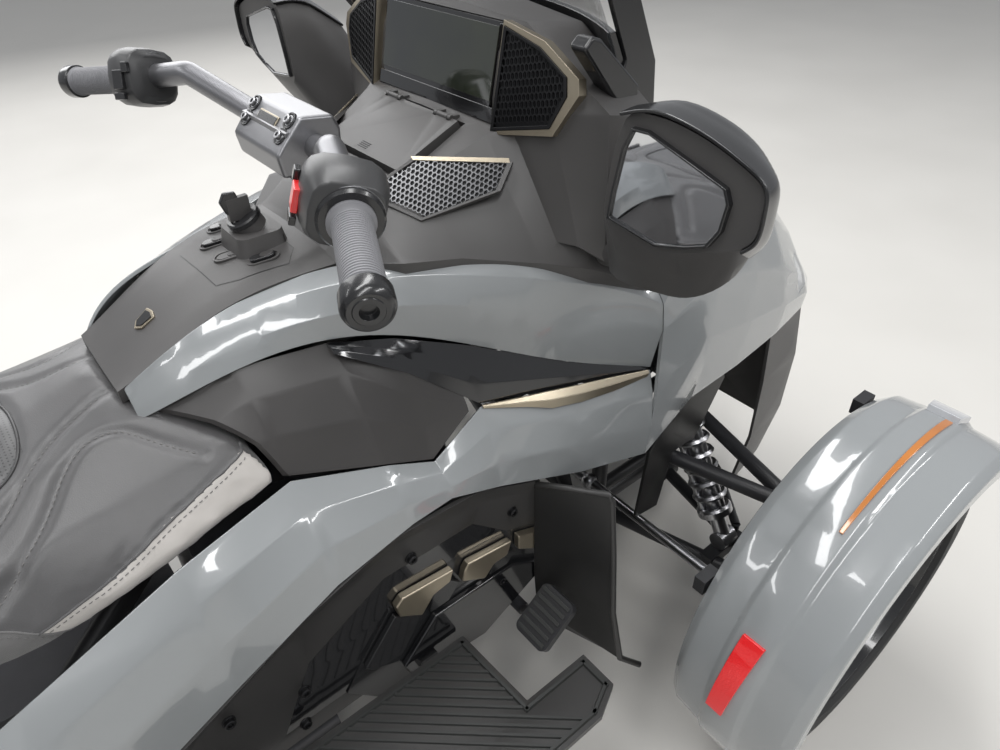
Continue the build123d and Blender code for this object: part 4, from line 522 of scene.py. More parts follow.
champagne = finish("champagne_plate", (0.44, 0.385, 0.295), (0.38, 0.33, 0.25), 0.30, metal=0.9, grain=0.08)
satin_black = finish("satin_black", (0.016, 0.016, 0.017), (0.011, 0.011, 0.012), 0.24, grain=0.05, coat=0.3)
SPEAR_TOP = [(0.489, 0.263, 0.692), (0.520, 0.271, 0.688), (0.548, 0.279, 0.685), (0.590, 0.289, 0.680),
             (0.640, 0.301, 0.673), (0.705, 0.316, 0.665), (0.770, 0.330, 0.655)]
SPEAR_LOW = [(0.490, 0.264, 0.686), (0.525, 0.277, 0.677), (0.556, 0.288, 0.668), (0.590, 0.302, 0.656),
             (0.640, 0.313, 0.648), (0.705, 0.323, 0.643), (0.768, 0.331, 0.643)]
SPEAR_FOLD = [(0.489, 0.2645, 0.6895), (0.523, 0.276, 0.683), (0.552, 0.2855, 0.6785), (0.590, 0.2985, 0.670),
              (0.640, 0.3095, 0.6625), (0.705, 0.3225, 0.6565), (0.770, 0.333, 0.6505)]
LOUVRES = [
    [(0.287, 0.441), (0.300, 0.453), (0.392, 0.443), (0.384, 0.420), (0.352, 0.414), (0.328, 0.385),
     (0.291, 0.415)],
    [(0.412, 0.423), (0.420, 0.434), (0.508, 0.420), (0.498, 0.392), (0.470, 0.392), (0.450, 0.371),
     (0.406, 0.400)],
    [(0.522, 0.420), (0.603, 0.385), (0.577, 0.375), (0.562, 0.358), (0.522, 0.387)],
]
SIDE_COVER = [(0.353, 0.359), (0.510, 0.356), (0.576, 0.314), (0.590, 0.296), (0.446, 0.219), (0.300, 0.236),
              (0.285, 0.284)]
RECESS = [(0.190, 0.300), (0.224, 0.350), (0.285, 0.430), (0.305, 0.462), (0.530, 0.430), (0.610, 0.372),
          (0.600, 0.285), (0.441, 0.214), (0.240, 0.232)]
FINS = [
    [(0.224, 0.344), (0.285, 0.418), (0.330, 0.382), (0.279, 0.306), (0.234, 0.330)],
    [(0.352, 0.412), (0.386, 0.420), (0.404, 0.400), (0.380, 0.372), (0.344, 0.372)],
    [(0.470, 0.390), (0.500, 0.392), (0.518, 0.386), (0.500, 0.364), (0.462, 0.366)],
]
RECESS_Y = 0.2875
COVER_Y = 0.2890
LOUVRE_Y = 0.2900


def flank_plate(name, outline, side, y, thick, material, width):
    """A plate of an outline of (x, z) that stands out from the vehicle's side."""
    if side < 0:
        return slab(name, (0, side * y, 0), (1, 0, 0), (0, 0, 1), outline, thick, material, "chassis", width)
    turned_over = [(z, x) for x, z in reversed(outline)]
    return slab(name, (0, side * y, 0), (0, 0, 1), (1, 0, 0), turned_over, thick, material, "chassis", width)


for side, label in ((-1, "right"), (1, "left")):
    top, fold, low = ([Vector((x, side * y, z)) for x, y, z in line]
                      for line in (SPEAR_TOP, SPEAR_FOLD, SPEAR_LOW))
    way = (-0.18, side * 0.95, 0.25)
    spear = ribbon(f"spear_upper_{label}", top, fold, 0.003, way, champagne, "chassis")
    ribbon(f"spear_lower_{label}", fold, low, 0.003, way, champagne, "chassis")
    if side < 0:
        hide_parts("trim_strips")
    flank_plate(f"side_recess_{label}", RECESS, side, RECESS_Y, 0.002, satin_black, 0.0004)
    flank_plate(f"side_cover_{label}", SIDE_COVER, side, COVER_Y, 0.013, gloss_black, 0.004)
    for index, outline in enumerate(LOUVRES):
        flank_plate(f"louvre_{label}_{index}", outline, side, LOUVRE_Y, 0.014, champagne, 0.003)
    for index, outline in enumerate(FINS):
        flank_plate(f"louvre_fin_{label}_{index}", outline, side, LOUVRE_Y, 0.010, satin_black, 0.002)
SCREWS = [(0.130, 0.303, 0.395), (0.118, 0.300, 0.318), (0.327, 0.295, 0.515), (0.518, 0.292, 0.474),
          (0.488, 0.295, 0.330), (0.030, 0.307, 0.440), (-0.160, 0.308, 0.380)]
for index, (x, y, z) in enumerate(SCREWS):
    for side, label in ((-1, "right"), (1, "left")):
        bolt(f"cover_screw_{label}_{index}", (x, side * y, z), (0, side, 0.05), 0.0075, bolt_steel, "chassis")


# Footboards: moulded boards bolted beside the engine, with slanted anti-slip ribs on top inside
# a raised edge.
def inside(point, outline):
    """Whether a point lies in an outline, by counting the edges to one side of it."""
    odd = False
    for (ax, ay), (bx, by) in zip(outline, outline[1:] + outline[:1]):
        if (ay > point[1]) != (by > point[1]):
            if point[0] < ax + (point[1] - ay) * (bx - ax) / (by - ay):
                odd = not odd
    return odd


def add_rib(points, faces, start, end, across, height, z, side):
    """Adds a rib with sloping flanks from start to end; across is half its width."""
    first = len(points)
    for spot in (start, end):
        for lean, level in ((-1.0, 0.0), (-0.6, height), (0.6, height), (1.0, 0.0)):
            corner = spot + across * lean
            points.append((corner.x, side * corner.y, z + level))
    faces += [(first + edge, first + edge + 1, first + edge + 5, first + edge + 4) for edge in range(3)]
    faces += [(first, first + 1, first + 2, first + 3), (first + 4, first + 5, first + 6, first + 7)]


def ribs_over(name, outline, slope, gap, height, wide, z, side, material):
    """Straight ribs at a slope over an outline of (x, y), cut to it."""
    xs = [p[0] for p in outline]
    ys = [p[1] for p in outline]
    points = []
    faces = []
    beyond = abs(slope) * max(abs(v) for v in xs) + 0.2
    offset = min(ys) - beyond
    while offset < max(ys) + beyond:
        run = []
        x = min(xs)
        while x <= max(xs):
            y = offset + slope * x
            if inside((x, y), outline):
                run.append((x, y))
            elif run:
                break
            x += 0.004
        if len(run) > 4:
            start, end = Vector((*run[0], 0)), Vector((*run[-1], 0))
            across = (end - start).normalized().cross(Vector((0, 0, 1))) * wide / 2
            add_rib(points, faces, start, end, across, height, z, side)
        offset += gap
    return fixed(mesh_piece(name, points, faces), material, "chassis")


BOARD_TOP = 0.2796
EDGE_HALF = 0.004
BOARD_EDGE = [(-0.079, 0.324), (-0.079, 0.494), (-0.025, 0.545), (0.465, 0.545), (0.509, 0.525),
              (0.509, 0.476), (0.390, 0.476), (0.382, 0.324)]
board_rubber = finish("board_plastic", (0.030, 0.031, 0.030), (0.022, 0.023, 0.022), 0.5, grain=0.12)
for side, label in ((1, "left"), (-1, "right")):
    ribs_over(f"board_ribs_{label}", BOARD_EDGE, 0.9, 0.019, 0.0035, 0.007, BOARD_TOP, side, board_rubber)
    ring = BOARD_EDGE + BOARD_EDGE[:1]
    points = []
    faces = []
    for a, b in zip(ring, ring[1:]):
        start, end = Vector((*a, 0)), Vector((*b, 0))
        way = (end - start).normalized() * EDGE_HALF
        across = way.cross(Vector((0, 0, 1)))
        add_rib(points, faces, start - way, end + way, across, 0.005, BOARD_TOP, side)
    fixed(mesh_piece(f"board_edge_{label}", points, faces), board_rubber, "chassis")

# Brake pedal: a forged arm with a pad at its end, which has ribs moulded across it against
# slipping.
PEDAL = Vector((0.500, -0.392, 0.318))
PEDAL_UP = Vector((0.77, 0, 0.64)).normalized()
for index in range(6):
    spot = PEDAL + PEDAL_UP * (-0.036 + index * 0.0144)
    slab(f"pedal_rib_{index}", spot, (0, 1, 0), PEDAL_UP * -1, oblong(0.030, 0.0035), 0.003, board_rubber,
         "chassis")

# Leg shields: moulded black plates in front of the footboards, fixed to the lower panels, with a
# rounded bead along the free edge.
guard_black = finish("leg_shield_plastic", (0.010, 0.0098, 0.0097), (0.0075, 0.0074, 0.0073), 0.38,
                     grain=0.14)
dress(guard_black, "splash_guards")
rounded(0.0015, "splash_guards")
GUARD_EDGE = [(0.556, 0.306, 0.520), (0.594, 0.352, 0.520), (0.628, 0.396, 0.519), (0.630, 0.401, 0.508),
              (0.617, 0.426, 0.410), (0.602, 0.450, 0.300), (0.603, 0.476, 0.196), (0.633, 0.497, 0.170)]
BEAD_RADIUS = 0.0055
BEAD_SIDES = 10
for side, label in ((1, "left"), (-1, "right")):
    rim = []
    line = [Vector((x, side * y, z)) for x, y, z in GUARD_EDGE]
    for index, point in enumerate(line):
        way = (line[min(index + 1, len(line) - 1)] - line[max(index - 1, 0)]).normalized()
        across = way.cross(Vector((1, 0, 0))).normalized()
        over = way.cross(across)
        for step in range(BEAD_SIDES):
            turn = 2 * math.pi * step / BEAD_SIDES
            rim.append(point + across * math.cos(turn) * BEAD_RADIUS + over * math.sin(turn) * BEAD_RADIUS)
    faces = row_faces(len(line), BEAD_SIDES) + end_faces(len(line), BEAD_SIDES)
    fixed(mesh_piece(f"leg_shield_bead_{label}", rim, faces, smooth=True), deep_shaded_charcoal, "chassis")


# Windshield and lamps: a blown sheet of tinted acrylic, clear lenses in front and red ones at
# the back.
def glass(name, colour, rough=0.02, alpha=0.3):
    """Clear or tinted moulding that shows what is behind it."""
    shade = tuple(c * 0.9 for c in colour)
    material = finish(name, colour, shade, rough, gloss_drift=0.01, grain=0.002, coat=1.0)
    material.node_tree.nodes["Principled BSDF"].inputs["Alpha"].default_value = alpha
    return material


dress(glass("windshield_tint", (0.05, 0.055, 0.06), alpha=0.35), "windshield")
dress(glass("clear_lens", (0.6, 0.62, 0.65), alpha=0.6), "headlights")
dress(glass("red_lens", (0.5, 0.012, 0.012), alpha=0.95), "tail_lights")
rounded(0.0015, "windshield", "headlights", "tail_lights")


# Windshield's carrier: a dark moulded band, bowed under the glass and bolted to the dash, with a
# stay and a deflector block at each end.
def lofted(name, rings, material, body, width=0.0015):
    """A closed body through rings of as many points each, with flat ends."""
    count = len(rings[0])
    points = [p for ring in rings for p in ring]
    piece = mesh_piece(name, points, row_faces(len(rings), count) + end_faces(len(rings), count))
    soften(piece, width, 35.0)
    return fixed(piece, material, body)


CARRIER = [
    # z, middle x, edge x
    (1.074, 0.833, 0.747), (1.112, 0.814, 0.727), (1.152, 0.794, 0.706),
]
CARRIER_HALF = 0.272
CARRIER_DEEP = 0.012
SWEEP = 12
rings = []
for z, mid_x, edge_x in CARRIER:
    ring = []
    for sweep, inset in ((range(-SWEEP, SWEEP + 1), 0.0), (range(SWEEP, -SWEEP - 1, -1), CARRIER_DEEP)):
        for step in sweep:
            share = step / SWEEP
            bow = (mid_x - edge_x) * share * share
            ring.append(Vector((mid_x - inset - bow, share * (CARRIER_HALF - inset / 4), z)))
    rings.append(ring)
carrier = lofted("windshield_carrier", rings, satin_black, "chassis", 0.002)
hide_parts("windshield_frame")
STAY = [(0.705, 1.060), (0.786, 1.037), (0.779, 1.108), (0.742, 1.182), (0.700, 1.240), (0.672, 1.256),
        (0.662, 1.250), (0.694, 1.180), (0.724, 1.118)]
DEFLECTOR = [(0.636, 1.146), (0.650, 1.158), (0.665, 1.153), (0.738, 1.088), (0.732, 1.052), (0.718, 1.050)]
CARRIER_ENDS = [("stay", STAY, 0.268, 0.276, 0.002), ("deflector", DEFLECTOR, 0.262, 0.290, 0.005)]
for side, label in ((-1, "right"), (1, "left")):
    for name, outline, near, far, width in CARRIER_ENDS:
        rings = [[Vector((x, side * y, z)) for x, z in outline] for y in (near, far)]
        lofted(f"windshield_{name}_{label}", rings, satin_black, "chassis", width)


# Mirrors: each a moulded charcoal housing on a short arm, a satin black cap over its top and outer
# side, and silvered glass in a black rim.
def flowing(p, q, r, s, t):
    """A value part of the way from q to r, on a smooth curve through four values."""
    return 0.5 * (2 * q + (r - p) * t + (2 * p - 5 * q + 4 * r - s) * t * t
                  + (3 * q - p - 3 * r + s) * t ** 3)


def rounded_ring(x, corners, side, per=4):
    """A closed smooth ring at x through corners of (y, z)."""
    count = len(corners)
    ring = []
    for index in range(count):
        a, b, c, d = (corners[(index + shift) % count] for shift in (-1, 0, 1, 2))
        for step in range(per):
            y, z = (flowing(p, q, r, s, step / per) for p, q, r, s in zip(a, b, c, d))
            ring.append(Vector((x, side * y, z)))
    return ring


MIRROR_HOUSINGS = [
    # x, corners (y, z) all round
    (0.586, [(0.404, 1.108), (0.442, 1.119), (0.494, 1.114), (0.545, 1.099), (0.573, 1.084), (0.577, 1.060),
             (0.574, 1.034), (0.556, 1.016), (0.520, 1.000), (0.463, 0.980), (0.390, 0.984), (0.386, 1.040)]),
    (0.612, [(0.400, 1.108), (0.440, 1.119), (0.494, 1.112), (0.540, 1.096), (0.564, 1.078), (0.568, 1.052),
             (0.565, 1.020), (0.545, 0.985), (0.505, 0.955), (0.455, 0.940), (0.370, 0.940), (0.376, 1.020)]),
    (0.645, [(0.398, 1.098), (0.438, 1.111), (0.490, 1.103), (0.526, 1.085), (0.541, 1.060), (0.542, 1.030),
             (0.539, 0.985), (0.520, 0.944), (0.480, 0.906), (0.430, 0.888), (0.345, 0.884), (0.360, 0.980)]),
    (0.700, [(0.398, 1.060), (0.434, 1.070), (0.474, 1.062), (0.496, 1.042), (0.504, 1.014), (0.502, 0.985),
             (0.494, 0.955), (0.470, 0.925), (0.440, 0.902), (0.400, 0.892), (0.340, 0.888), (0.356, 0.960)]),
    (0.738, [(0.400, 1.000), (0.424, 1.006), (0.444, 0.998), (0.456, 0.986), (0.460, 0.972), (0.457, 0.955),
             (0.448, 0.938), (0.430, 0.922), (0.410, 0.912), (0.385, 0.906), (0.345, 0.902), (0.356, 0.940)]),
]
MIRROR_CAPS = [
    # x, edge (y, z) from the inner top to the bottom of the outer side
    (0.579, [(0.400, 1.1125), (0.444, 1.125), (0.498, 1.120), (0.548, 1.105), (0.578, 1.089), (0.583, 1.062),
             (0.580, 1.036), (0.566, 1.020)]),
    (0.612, [(0.398, 1.113), (0.442, 1.124), (0.497, 1.117), (0.544, 1.101), (0.570, 1.082), (0.574, 1.052),
             (0.571, 1.022), (0.556, 1.000)]),
    (0.645, [(0.397, 1.103), (0.440, 1.116), (0.493, 1.108), (0.530, 1.089), (0.546, 1.062), (0.548, 1.032),
             (0.546, 1.006), (0.540, 0.986)]),
    (0.705, [(0.398, 1.060), (0.436, 1.070), (0.476, 1.062), (0.498, 1.042), (0.506, 1.014), (0.507, 0.994),
             (0.504, 0.980), (0.498, 0.968)]),
]
MIRROR_FACE = [(0.420, 1.099), (0.440, 1.100), (0.507, 1.081), (0.534, 1.073), (0.540, 1.060), (0.536, 1.032),
               (0.524, 1.012), (0.501, 1.002), (0.463, 0.990), (0.396, 0.998), (0.400, 1.028), (0.410, 1.078)]
silvered = finish("silvered_glass", (0.75, 0.76, 0.78), (0.72, 0.73, 0.75), 0.03, gloss_drift=0.01, metal=1.0,
                  grain=0.0)


def sheet_grid(stations, side, across=5, along=6):
    """Smoothed grid of points through stations of (x, edge), on one side of the vehicle."""
    def curve(values, share):
        last = len(values) - 1
        spot = min(share * last, last - 1e-9)
        index = int(spot)
        before = values[max(index - 1, 0)]
        after = values[min(index + 2, last)]
        return flowing(before, values[index], values[index + 1], after, spot - index)

    rows = []
    for x, edge in stations:
        rows.append([Vector((x, side * y, z)) for y, z in edge])
    steps = (len(stations) - 1) * along
    cells = (len(rows[0]) - 1) * across
    grid = []
    for step in range(steps + 1):
        lane = [curve([row[i] for row in rows], step / steps) for i in range(len(rows[0]))]
        grid.append([curve(lane, cell / cells) for cell in range(cells + 1)])
    return grid


def shell(name, grid, thick, material, body, width=0.0015):
    """A panel of even thickness on a grid of points, with rounded borders."""
    points = [p for row in grid for p in row]
    piece = mesh_piece(name, points, row_faces(len(grid), len(grid[0]), closed=False), smooth=True)
    wall = piece.modifiers.new("wall", "SOLIDIFY")
    wall.thickness = thick
    wall.offset = 0.0
    rim = piece.modifiers.new("rounded_edges", "BEVEL")
    rim.width = width
    rim.segments = 2
    rim.limit_method = "ANGLE"
    rim.angle_limit = math.radians(50.0)
    rim.harden_normals = True
    return fixed(piece, material, body)


GLASS_FRONT_X = 0.5835
GLASS_BACK_X = 0.5865
MIRROR_RIM = [
    # x, size of the rim's outline against the glass
    (GLASS_BACK_X, 1.075), (0.5800, 1.065), (0.5800, 1.012), (GLASS_FRONT_X, 1.000),
]
mid_y = sum(y for y, z in MIRROR_FACE) / len(MIRROR_FACE)
mid_z = sum(z for y, z in MIRROR_FACE) / len(MIRROR_FACE)
for side, label in ((1, "left"), (-1, "right")):
    housing_rings = [rounded_ring(x, corners, side) for x, corners in MIRROR_HOUSINGS]
    housing = lofted(f"mirror_housing_{label}", housing_rings, charcoal, "chassis", 0.003)
    shell(f"mirror_cap_{label}", sheet_grid(MIRROR_CAPS, side), 0.004, satin_black, "chassis")
    turned(f"mirror_arm_{label}", (0.690, side * 0.300, 0.884), (-0.10, side * 0.86, 0.30), [
        (0.0, 0.024), (0.020, 0.026), (0.120, 0.022), (0.150, 0.018)], charcoal, "chassis")
    face_ring = [Vector((GLASS_FRONT_X, side * y, z)) for y, z in MIRROR_FACE]
    deep_ring = [Vector((GLASS_BACK_X, side * y, z)) for y, z in MIRROR_FACE]
    glass_piece = lofted(f"silver_glass_{label}", [face_ring, deep_ring], silvered, "chassis", 0.0006)
    points = [Vector((x, side * (mid_y + (y - mid_y) * grow), mid_z + (z - mid_z) * grow))
              for x, grow in MIRROR_RIM for y, z in MIRROR_FACE]
    rim = mesh_piece(f"mirror_rim_{label}", points, row_faces(len(MIRROR_RIM), len(MIRROR_FACE)))
    soften(rim, 0.0012, 30.0)
    fixed(rim, satin_black, "chassis")
    if side > 0:
        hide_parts("mirror_pods")
        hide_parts("mirror_glass")

# Display: a wide screen behind dark glass, in a broad black bezel with a sill of gloss black
# plastic under it.
SCREEN_TILT = math.radians(13.0)
screen_right = Vector((0, -1, 0))
screen_out = Vector((-math.cos(SCREEN_TILT), 0, math.sin(SCREEN_TILT)))
screen_up = screen_out.cross(screen_right)
screen_at = Vector((0.634, 0, 1.100))
screen_glass = finish("screen_glass", (0.020, 0.024, 0.014), (0.008, 0.010, 0.010), 0.05, gloss_drift=0.015,
                      tone=0.12, grain=0.0, coat=1.0)
slab("screen_pane", screen_at + screen_out * 0.0006, screen_right, screen_up,
     [(-0.131, -0.044), (0.131, -0.044), (0.131, 0.047), (-0.131, 0.047)], 0.0012, screen_glass, "chassis",
     0.0004)
slab("screen_sill", screen_at + screen_out * -0.006, screen_right, screen_up,
     [(-0.141, -0.0705), (0.141, -0.0705), (0.138, -0.051), (-0.138, -0.051)], 0.007, gloss_black, "chassis",
     0.001)


# Loudspeaker grilles and side meshes: pressed steel sheet with stretched hexagonal holes, held in
# moulded frames; the loudspeaker's has a champagne edge.
def mesh_grille(name, origin, one, two, outline, pitch, bar, stretch, thick, material, body):
    """A sheet of stretched hexagonal rings over an outline of (a, b), raised by its thickness."""
    one = Vector(one).normalized()
    face = one.cross(Vector(two)).normalized()
    two = face.cross(one)
    points = []
    faces = []
    low_a = min(p[0] for p in outline)
    high_a = max(p[0] for p in outline)
    low_b = min(p[1] for p in outline)
    high_b = max(p[1] for p in outline)
    row = 0
    b = low_b
    while b <= high_b:
        a = low_a + (pitch / 2 if row % 2 else 0.0)
        while a <= high_a:
            if inside((a, b), outline):
                first = len(points)
                for level, reach in ((thick, 1.0), (thick, 1.0 - bar), (0.0, 1.0 - bar)):
                    for corner in range(6):
                        turn = math.radians(60 * corner + 30)
                        spread = pitch / math.sqrt(3) * reach
                        points.append(Vector(origin) + one * (a + spread * math.cos(turn))
                                      + two * (b + spread * stretch * math.sin(turn)) + face * level)
                for corner in range(6):
                    beside = (corner + 1) % 6
                    for ring in (first, first + 6):
                        faces.append((ring + corner, ring + beside, ring + 6 + beside, ring + 6 + corner))
            a += pitch
        b += pitch * 0.866 * stretch
        row += 1
    return fixed(mesh_piece(name, points, faces), material, body)


def border(name, origin, one, two, outer, inner, low, high, material, body, width=0.0006):
    """A raised frame between two outlines of (a, b) with as many corners each."""
    one = Vector(one).normalized()
    face = one.cross(Vector(two)).normalized()
    two = face.cross(one)
    points = []
    for outline, level in ((outer, low), (outer, high), (inner, high), (inner, low)):
        points += [Vector(origin) + one * a + two * b + face * level for a, b in outline]
    piece = mesh_piece(name, points, row_faces(4, len(outer), joined=True))
    soften(piece, width, 40.0)
    return fixed(piece, material, body)


def drawn(outline, amount):
    """An outline drawn towards its middle by an amount."""
    mid = Vector((sum(p[0] for p in outline) / len(outline), sum(p[1] for p in outline) / len(outline)))
    inner = []
    for a, b in outline:
        way = Vector((a, b)) - mid
        inner.append(tuple(mid + way * (1 - amount / way.length)))
    return inner


def mirrored(point, side):
    """A place on the right side, carried over to a side of the vehicle."""
    return Vector((point[0], -side * point[1], point[2]))


def flattened(corners, side, middle, across, upward):
    """Corners given on the right side, as an outline of (a, b) about a middle."""
    offsets = [mirrored(c, side) - middle for c in corners]
    return [(offset.dot(across), offset.dot(upward)) for offset in offsets]


grille_black = finish("grille_black", (0.012, 0.012, 0.013), (0.008, 0.008, 0.009), 0.35, metal=0.4,
                      grain=0.05)
mesh_silver = finish("mesh_silver", (0.20, 0.20, 0.205), (0.12, 0.12, 0.125), 0.3, metal=0.8, grain=0.05)
COWL_FACE = Vector((-0.967, -0.164, 0.193))
SPEAKER = [(0.6496, -0.1414, 1.1426), (0.6560, -0.1971, 1.1273), (0.6582, -0.2403, 1.1020),
           (0.6550, -0.2447, 1.0820), (0.6444, -0.2274, 1.0436), (0.6256, -0.1397, 1.0242)]
BEZEL = [(0.6520, -0.1360, 1.1520), (0.6575, -0.2030, 1.1370), (0.6617, -0.2596, 1.1032),
         (0.6588, -0.2638, 1.0853), (0.6435, -0.2349, 1.0330), (0.6240, -0.1350, 1.0155)]
SPEAKER_STEP = (-0.0096, -0.0108, 0.0042)
SHELF_FACE = Vector((-0.470, -0.514, 0.718))
SIDE_MESH = [(0.4574, -0.0930, 0.9720), (0.5184, -0.1073, 0.9992), (0.6035, -0.1932, 0.9934),
             (0.5748, -0.2034, 0.9673), (0.4848, -0.1589, 0.9402), (0.4572, -0.1095, 0.9575)]
SIDE_TRIM = [(0.5120, -0.1010, 1.0010), (0.6070, -0.1900, 0.9985), (0.6050, -0.1945, 0.9935),
             (0.5120, -0.1060, 0.9965)]
MESH_LIFT = 0.004
MESH_BAR = 0.24
MESH_SHEETS = [
    # name, corners, way it faces, spacing of the holes, how far they are stretched, sheet, surround
    ("speaker", SPEAKER, COWL_FACE, 0.0066, 1.5, grille_black, grille_black),
    ("side_mesh", SIDE_MESH, SHELF_FACE, 0.0062, 1.35, mesh_silver, charcoal),
]
for side, label in ((-1, "right"), (1, "left")):
    for name, corners, normal, pitch, stretch, sheet, surround in MESH_SHEETS:
        face = mirrored(normal, side).normalized()
        across = (mirrored(corners[4], side) - mirrored(corners[5], side)).normalized()
        upward = face.cross(across)
        middle = sum((mirrored(c, side) for c in corners), Vector()) / len(corners) + face * MESH_LIFT
        flat = flattened(corners, side, middle, across, upward)
        outer = [(a * 1.06, b * 1.06) for a, b in flat]
        if name == "speaker":
            edge = flattened(BEZEL, side, middle, across, upward)
            middle = middle + mirrored(SPEAKER_STEP, side)
        grille = mesh_grille(f"{name}_sheet_{label}", middle, across, upward, drawn(flat, 0.003), pitch,
                             MESH_BAR, stretch, 0.0015, sheet, "chassis")
        slab(f"{name}_back_{label}", middle - face * MESH_LIFT, across, upward, flat, 0.002, grille_black,
             "chassis")
        border(f"{name}_frame_{label}", middle, across, upward, outer, drawn(flat, 0.002), -0.005, 0.0022,
               surround, "chassis")
        if name == "side_mesh":
            trim = flattened(SIDE_TRIM, side, middle, across, upward)
            slab(f"side_trim_{label}", middle, across, upward, trim, 0.0025, champagne, "chassis", 0.0006)
            continue
        border(f"speaker_bezel_{label}", middle, across, upward, edge, outer, -0.016, 0.0005, champagne,
               "chassis", 0.0012)
        if side < 0:
            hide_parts("speaker_grilles")

# Glovebox lid: a moulded charcoal lid, whose latch is a sunk push button with four grip lines in a thin
# frame. The grip lines are thin black strips: painted shade in their grooves.
LID_SLOPE = math.radians(22.0)
lid_rear = Vector((-math.cos(LID_SLOPE), 0, -math.sin(LID_SLOPE)))
lid_out = Vector((-math.sin(LID_SLOPE), 0, math.cos(LID_SLOPE)))
lid_at = Vector((0.598, 0, 1.024)) + lid_out * 0.006
button_at = lid_at + lid_rear * 0.096 + Vector((0, 0.006, 0))
border("latch_frame", button_at, (0, 1, 0), lid_rear,
       [(-0.022, -0.011), (0.022, -0.011), (0.019, 0.012), (-0.019, 0.012)],
       [(-0.020, -0.0095), (0.020, -0.0095), (0.017, 0.0105), (-0.017, 0.0105)],
       -0.001, 0.0, charcoal, "glovebox_lid", 0.0002)
slab("latch_button", button_at + lid_out * -0.0005, lid_rear, (0, 1, 0),
     [(-0.0085, -0.0185), (0.010, -0.0165), (0.010, 0.0165), (-0.0085, 0.0185)],
     0.0016, charcoal, "glovebox_lid", 0.0006)
# The grip lines are black strips on the button: painted shade in their grooves.
for index in range(4):
    line_at = button_at + lid_rear * (-0.002 + index * 0.0032) + lid_out * 0.0008
    slab(f"latch_groove_shade_{index}", line_at, lid_rear, (0, 1, 0), oblong(0.0007, 0.011), 0.0008, grille_black,
         "glovebox_lid", 0.0002)

# Console: moulded rocker buttons, each clipped into an oval ring inside an incised panel line, a blank metal
# shield badge glued on, and the ignition lock with its key in it. The panel line is drawn as a thin black
# strip laid on the console: painted shade in its groove.
def oval(half_long, half_wide, steps=20):
    """An outline with straight sides and round ends."""
    straight = half_long - half_wide
    outline = []
    for step in range(steps):
        turn = 2 * math.pi * (step + 0.5) / steps
        outline.append((math.copysign(straight, math.cos(turn)) + half_wide * math.cos(turn),
                        half_wide * math.sin(turn)))
    return outline


ROCKERS = [
    # place on the console, how far it is raised
    ((0.276, 0.041, 0.903), 0.0050), ((0.304, -0.052, 0.907), 0.0050), ((0.301, 0.076, 0.906), 0.0050),
    ((0.276, -0.009, 0.9045), 0.0012),
]
rocker_long = Vector((0.93, -0.36, 0.17)).normalized()
rocker_wide = Vector((0.33, 0.93, 0.0)).normalized()
for index, (place, lift) in enumerate(ROCKERS):
    raised = lift > 0.002
    slab(f"rocker_{index}", place, rocker_long, rocker_wide, oval(0.017, 0.0075), lift,
         satin_black if raised else charcoal, "chassis", 0.0012)
    slab(f"rocker_crown_{index}", Vector(place) + rocker_long * 0.006, rocker_long, rocker_wide,
         oval(0.009, 0.006), lift + 0.0012, shaded_charcoal if raised else charcoal, "chassis", 0.001)
    border(f"rocker_ring_{index}", place, rocker_long, rocker_wide, oval(0.0225, 0.0125),
           oval(0.0195, 0.0098), -0.001, 0.0016, charcoal, "chassis", 0.0004)
# The incised line is a thin black strip laid on the console's surface: painted shade in its groove.
PANEL_LINE = [(0.232, 0.062), (0.236, -0.052), (0.262, -0.070), (0.322, -0.090), (0.344, -0.060),
              (0.344, -0.030)]
LINE_STEPS = 8
OVER_CONSOLE = 1.2
line_points = []
for (ax, ay), (bx, by) in zip(PANEL_LINE, PANEL_LINE[1:]):
    for step in range(LINE_STEPS):
        share = step / LINE_STEPS
        line_points.append(Vector((ax + (bx - ax) * share, ay + (by - ay) * share, OVER_CONSOLE)))
console_form = BVHTree.FromObject(nodes["console"], bpy.context.evaluated_depsgraph_get())
corners = []
for spot in line_points:
    found = console_form.ray_cast(spot, Vector((0, 0, -1)))[0]
    if found is not None:
        corners += [found + Vector((0.0007, 0.0007, 0.0003)), found + Vector((-0.0007, -0.0007, 0.0003))]
faces = row_faces(len(corners) // 2, 2, closed=False)
fixed(mesh_piece("console_groove_shade", corners, faces), grille_black, "chassis")
badge_up = Vector((0.86, 0, 0.50)).normalized()
SHIELD = [(-0.017, 0.0), (-0.010, 0.011), (0.012, 0.014), (0.015, 0.0), (0.012, -0.014), (-0.010, -0.011)]
badge_at = Vector((0.152, -0.001, 0.8515))
slab("console_badge", badge_at, (0, 1, 0), badge_up * -1, [(b, -a) for a, b in SHIELD],
     0.0028, champagne, "chassis", 0.0006)
slab("console_badge_face", badge_at + Vector((-0.0011, 0, 0.0018)), (0, 1, 0), badge_up * -1,
     [(b * 0.76, -a * 0.76) for a, b in SHIELD], 0.0018, grille_black, "chassis", 0.0003)
turned("ignition_ring", (0.3085, 0, 0.9455), (-0.40, 0, 0.92), [
    (-0.004, 0.0235), (0.002, 0.0235), (0.004, 0.0215), (0.004, 0.0150), (0.0015, 0.0135), (0.0015, 0.004)],
       satin_black, "chassis", steps=40)
KEY_HEAD = [(-0.006, -0.008), (0.010, -0.008), (0.015, 0.006), (0.011, 0.020), (-0.004, 0.022),
            (-0.012, 0.010)]
slab("key_head", (0.294, -0.0035, 0.962), (1, 0, 0), (0, 0, 1), KEY_HEAD, -0.007, satin_black, "chassis",
     0.0022)


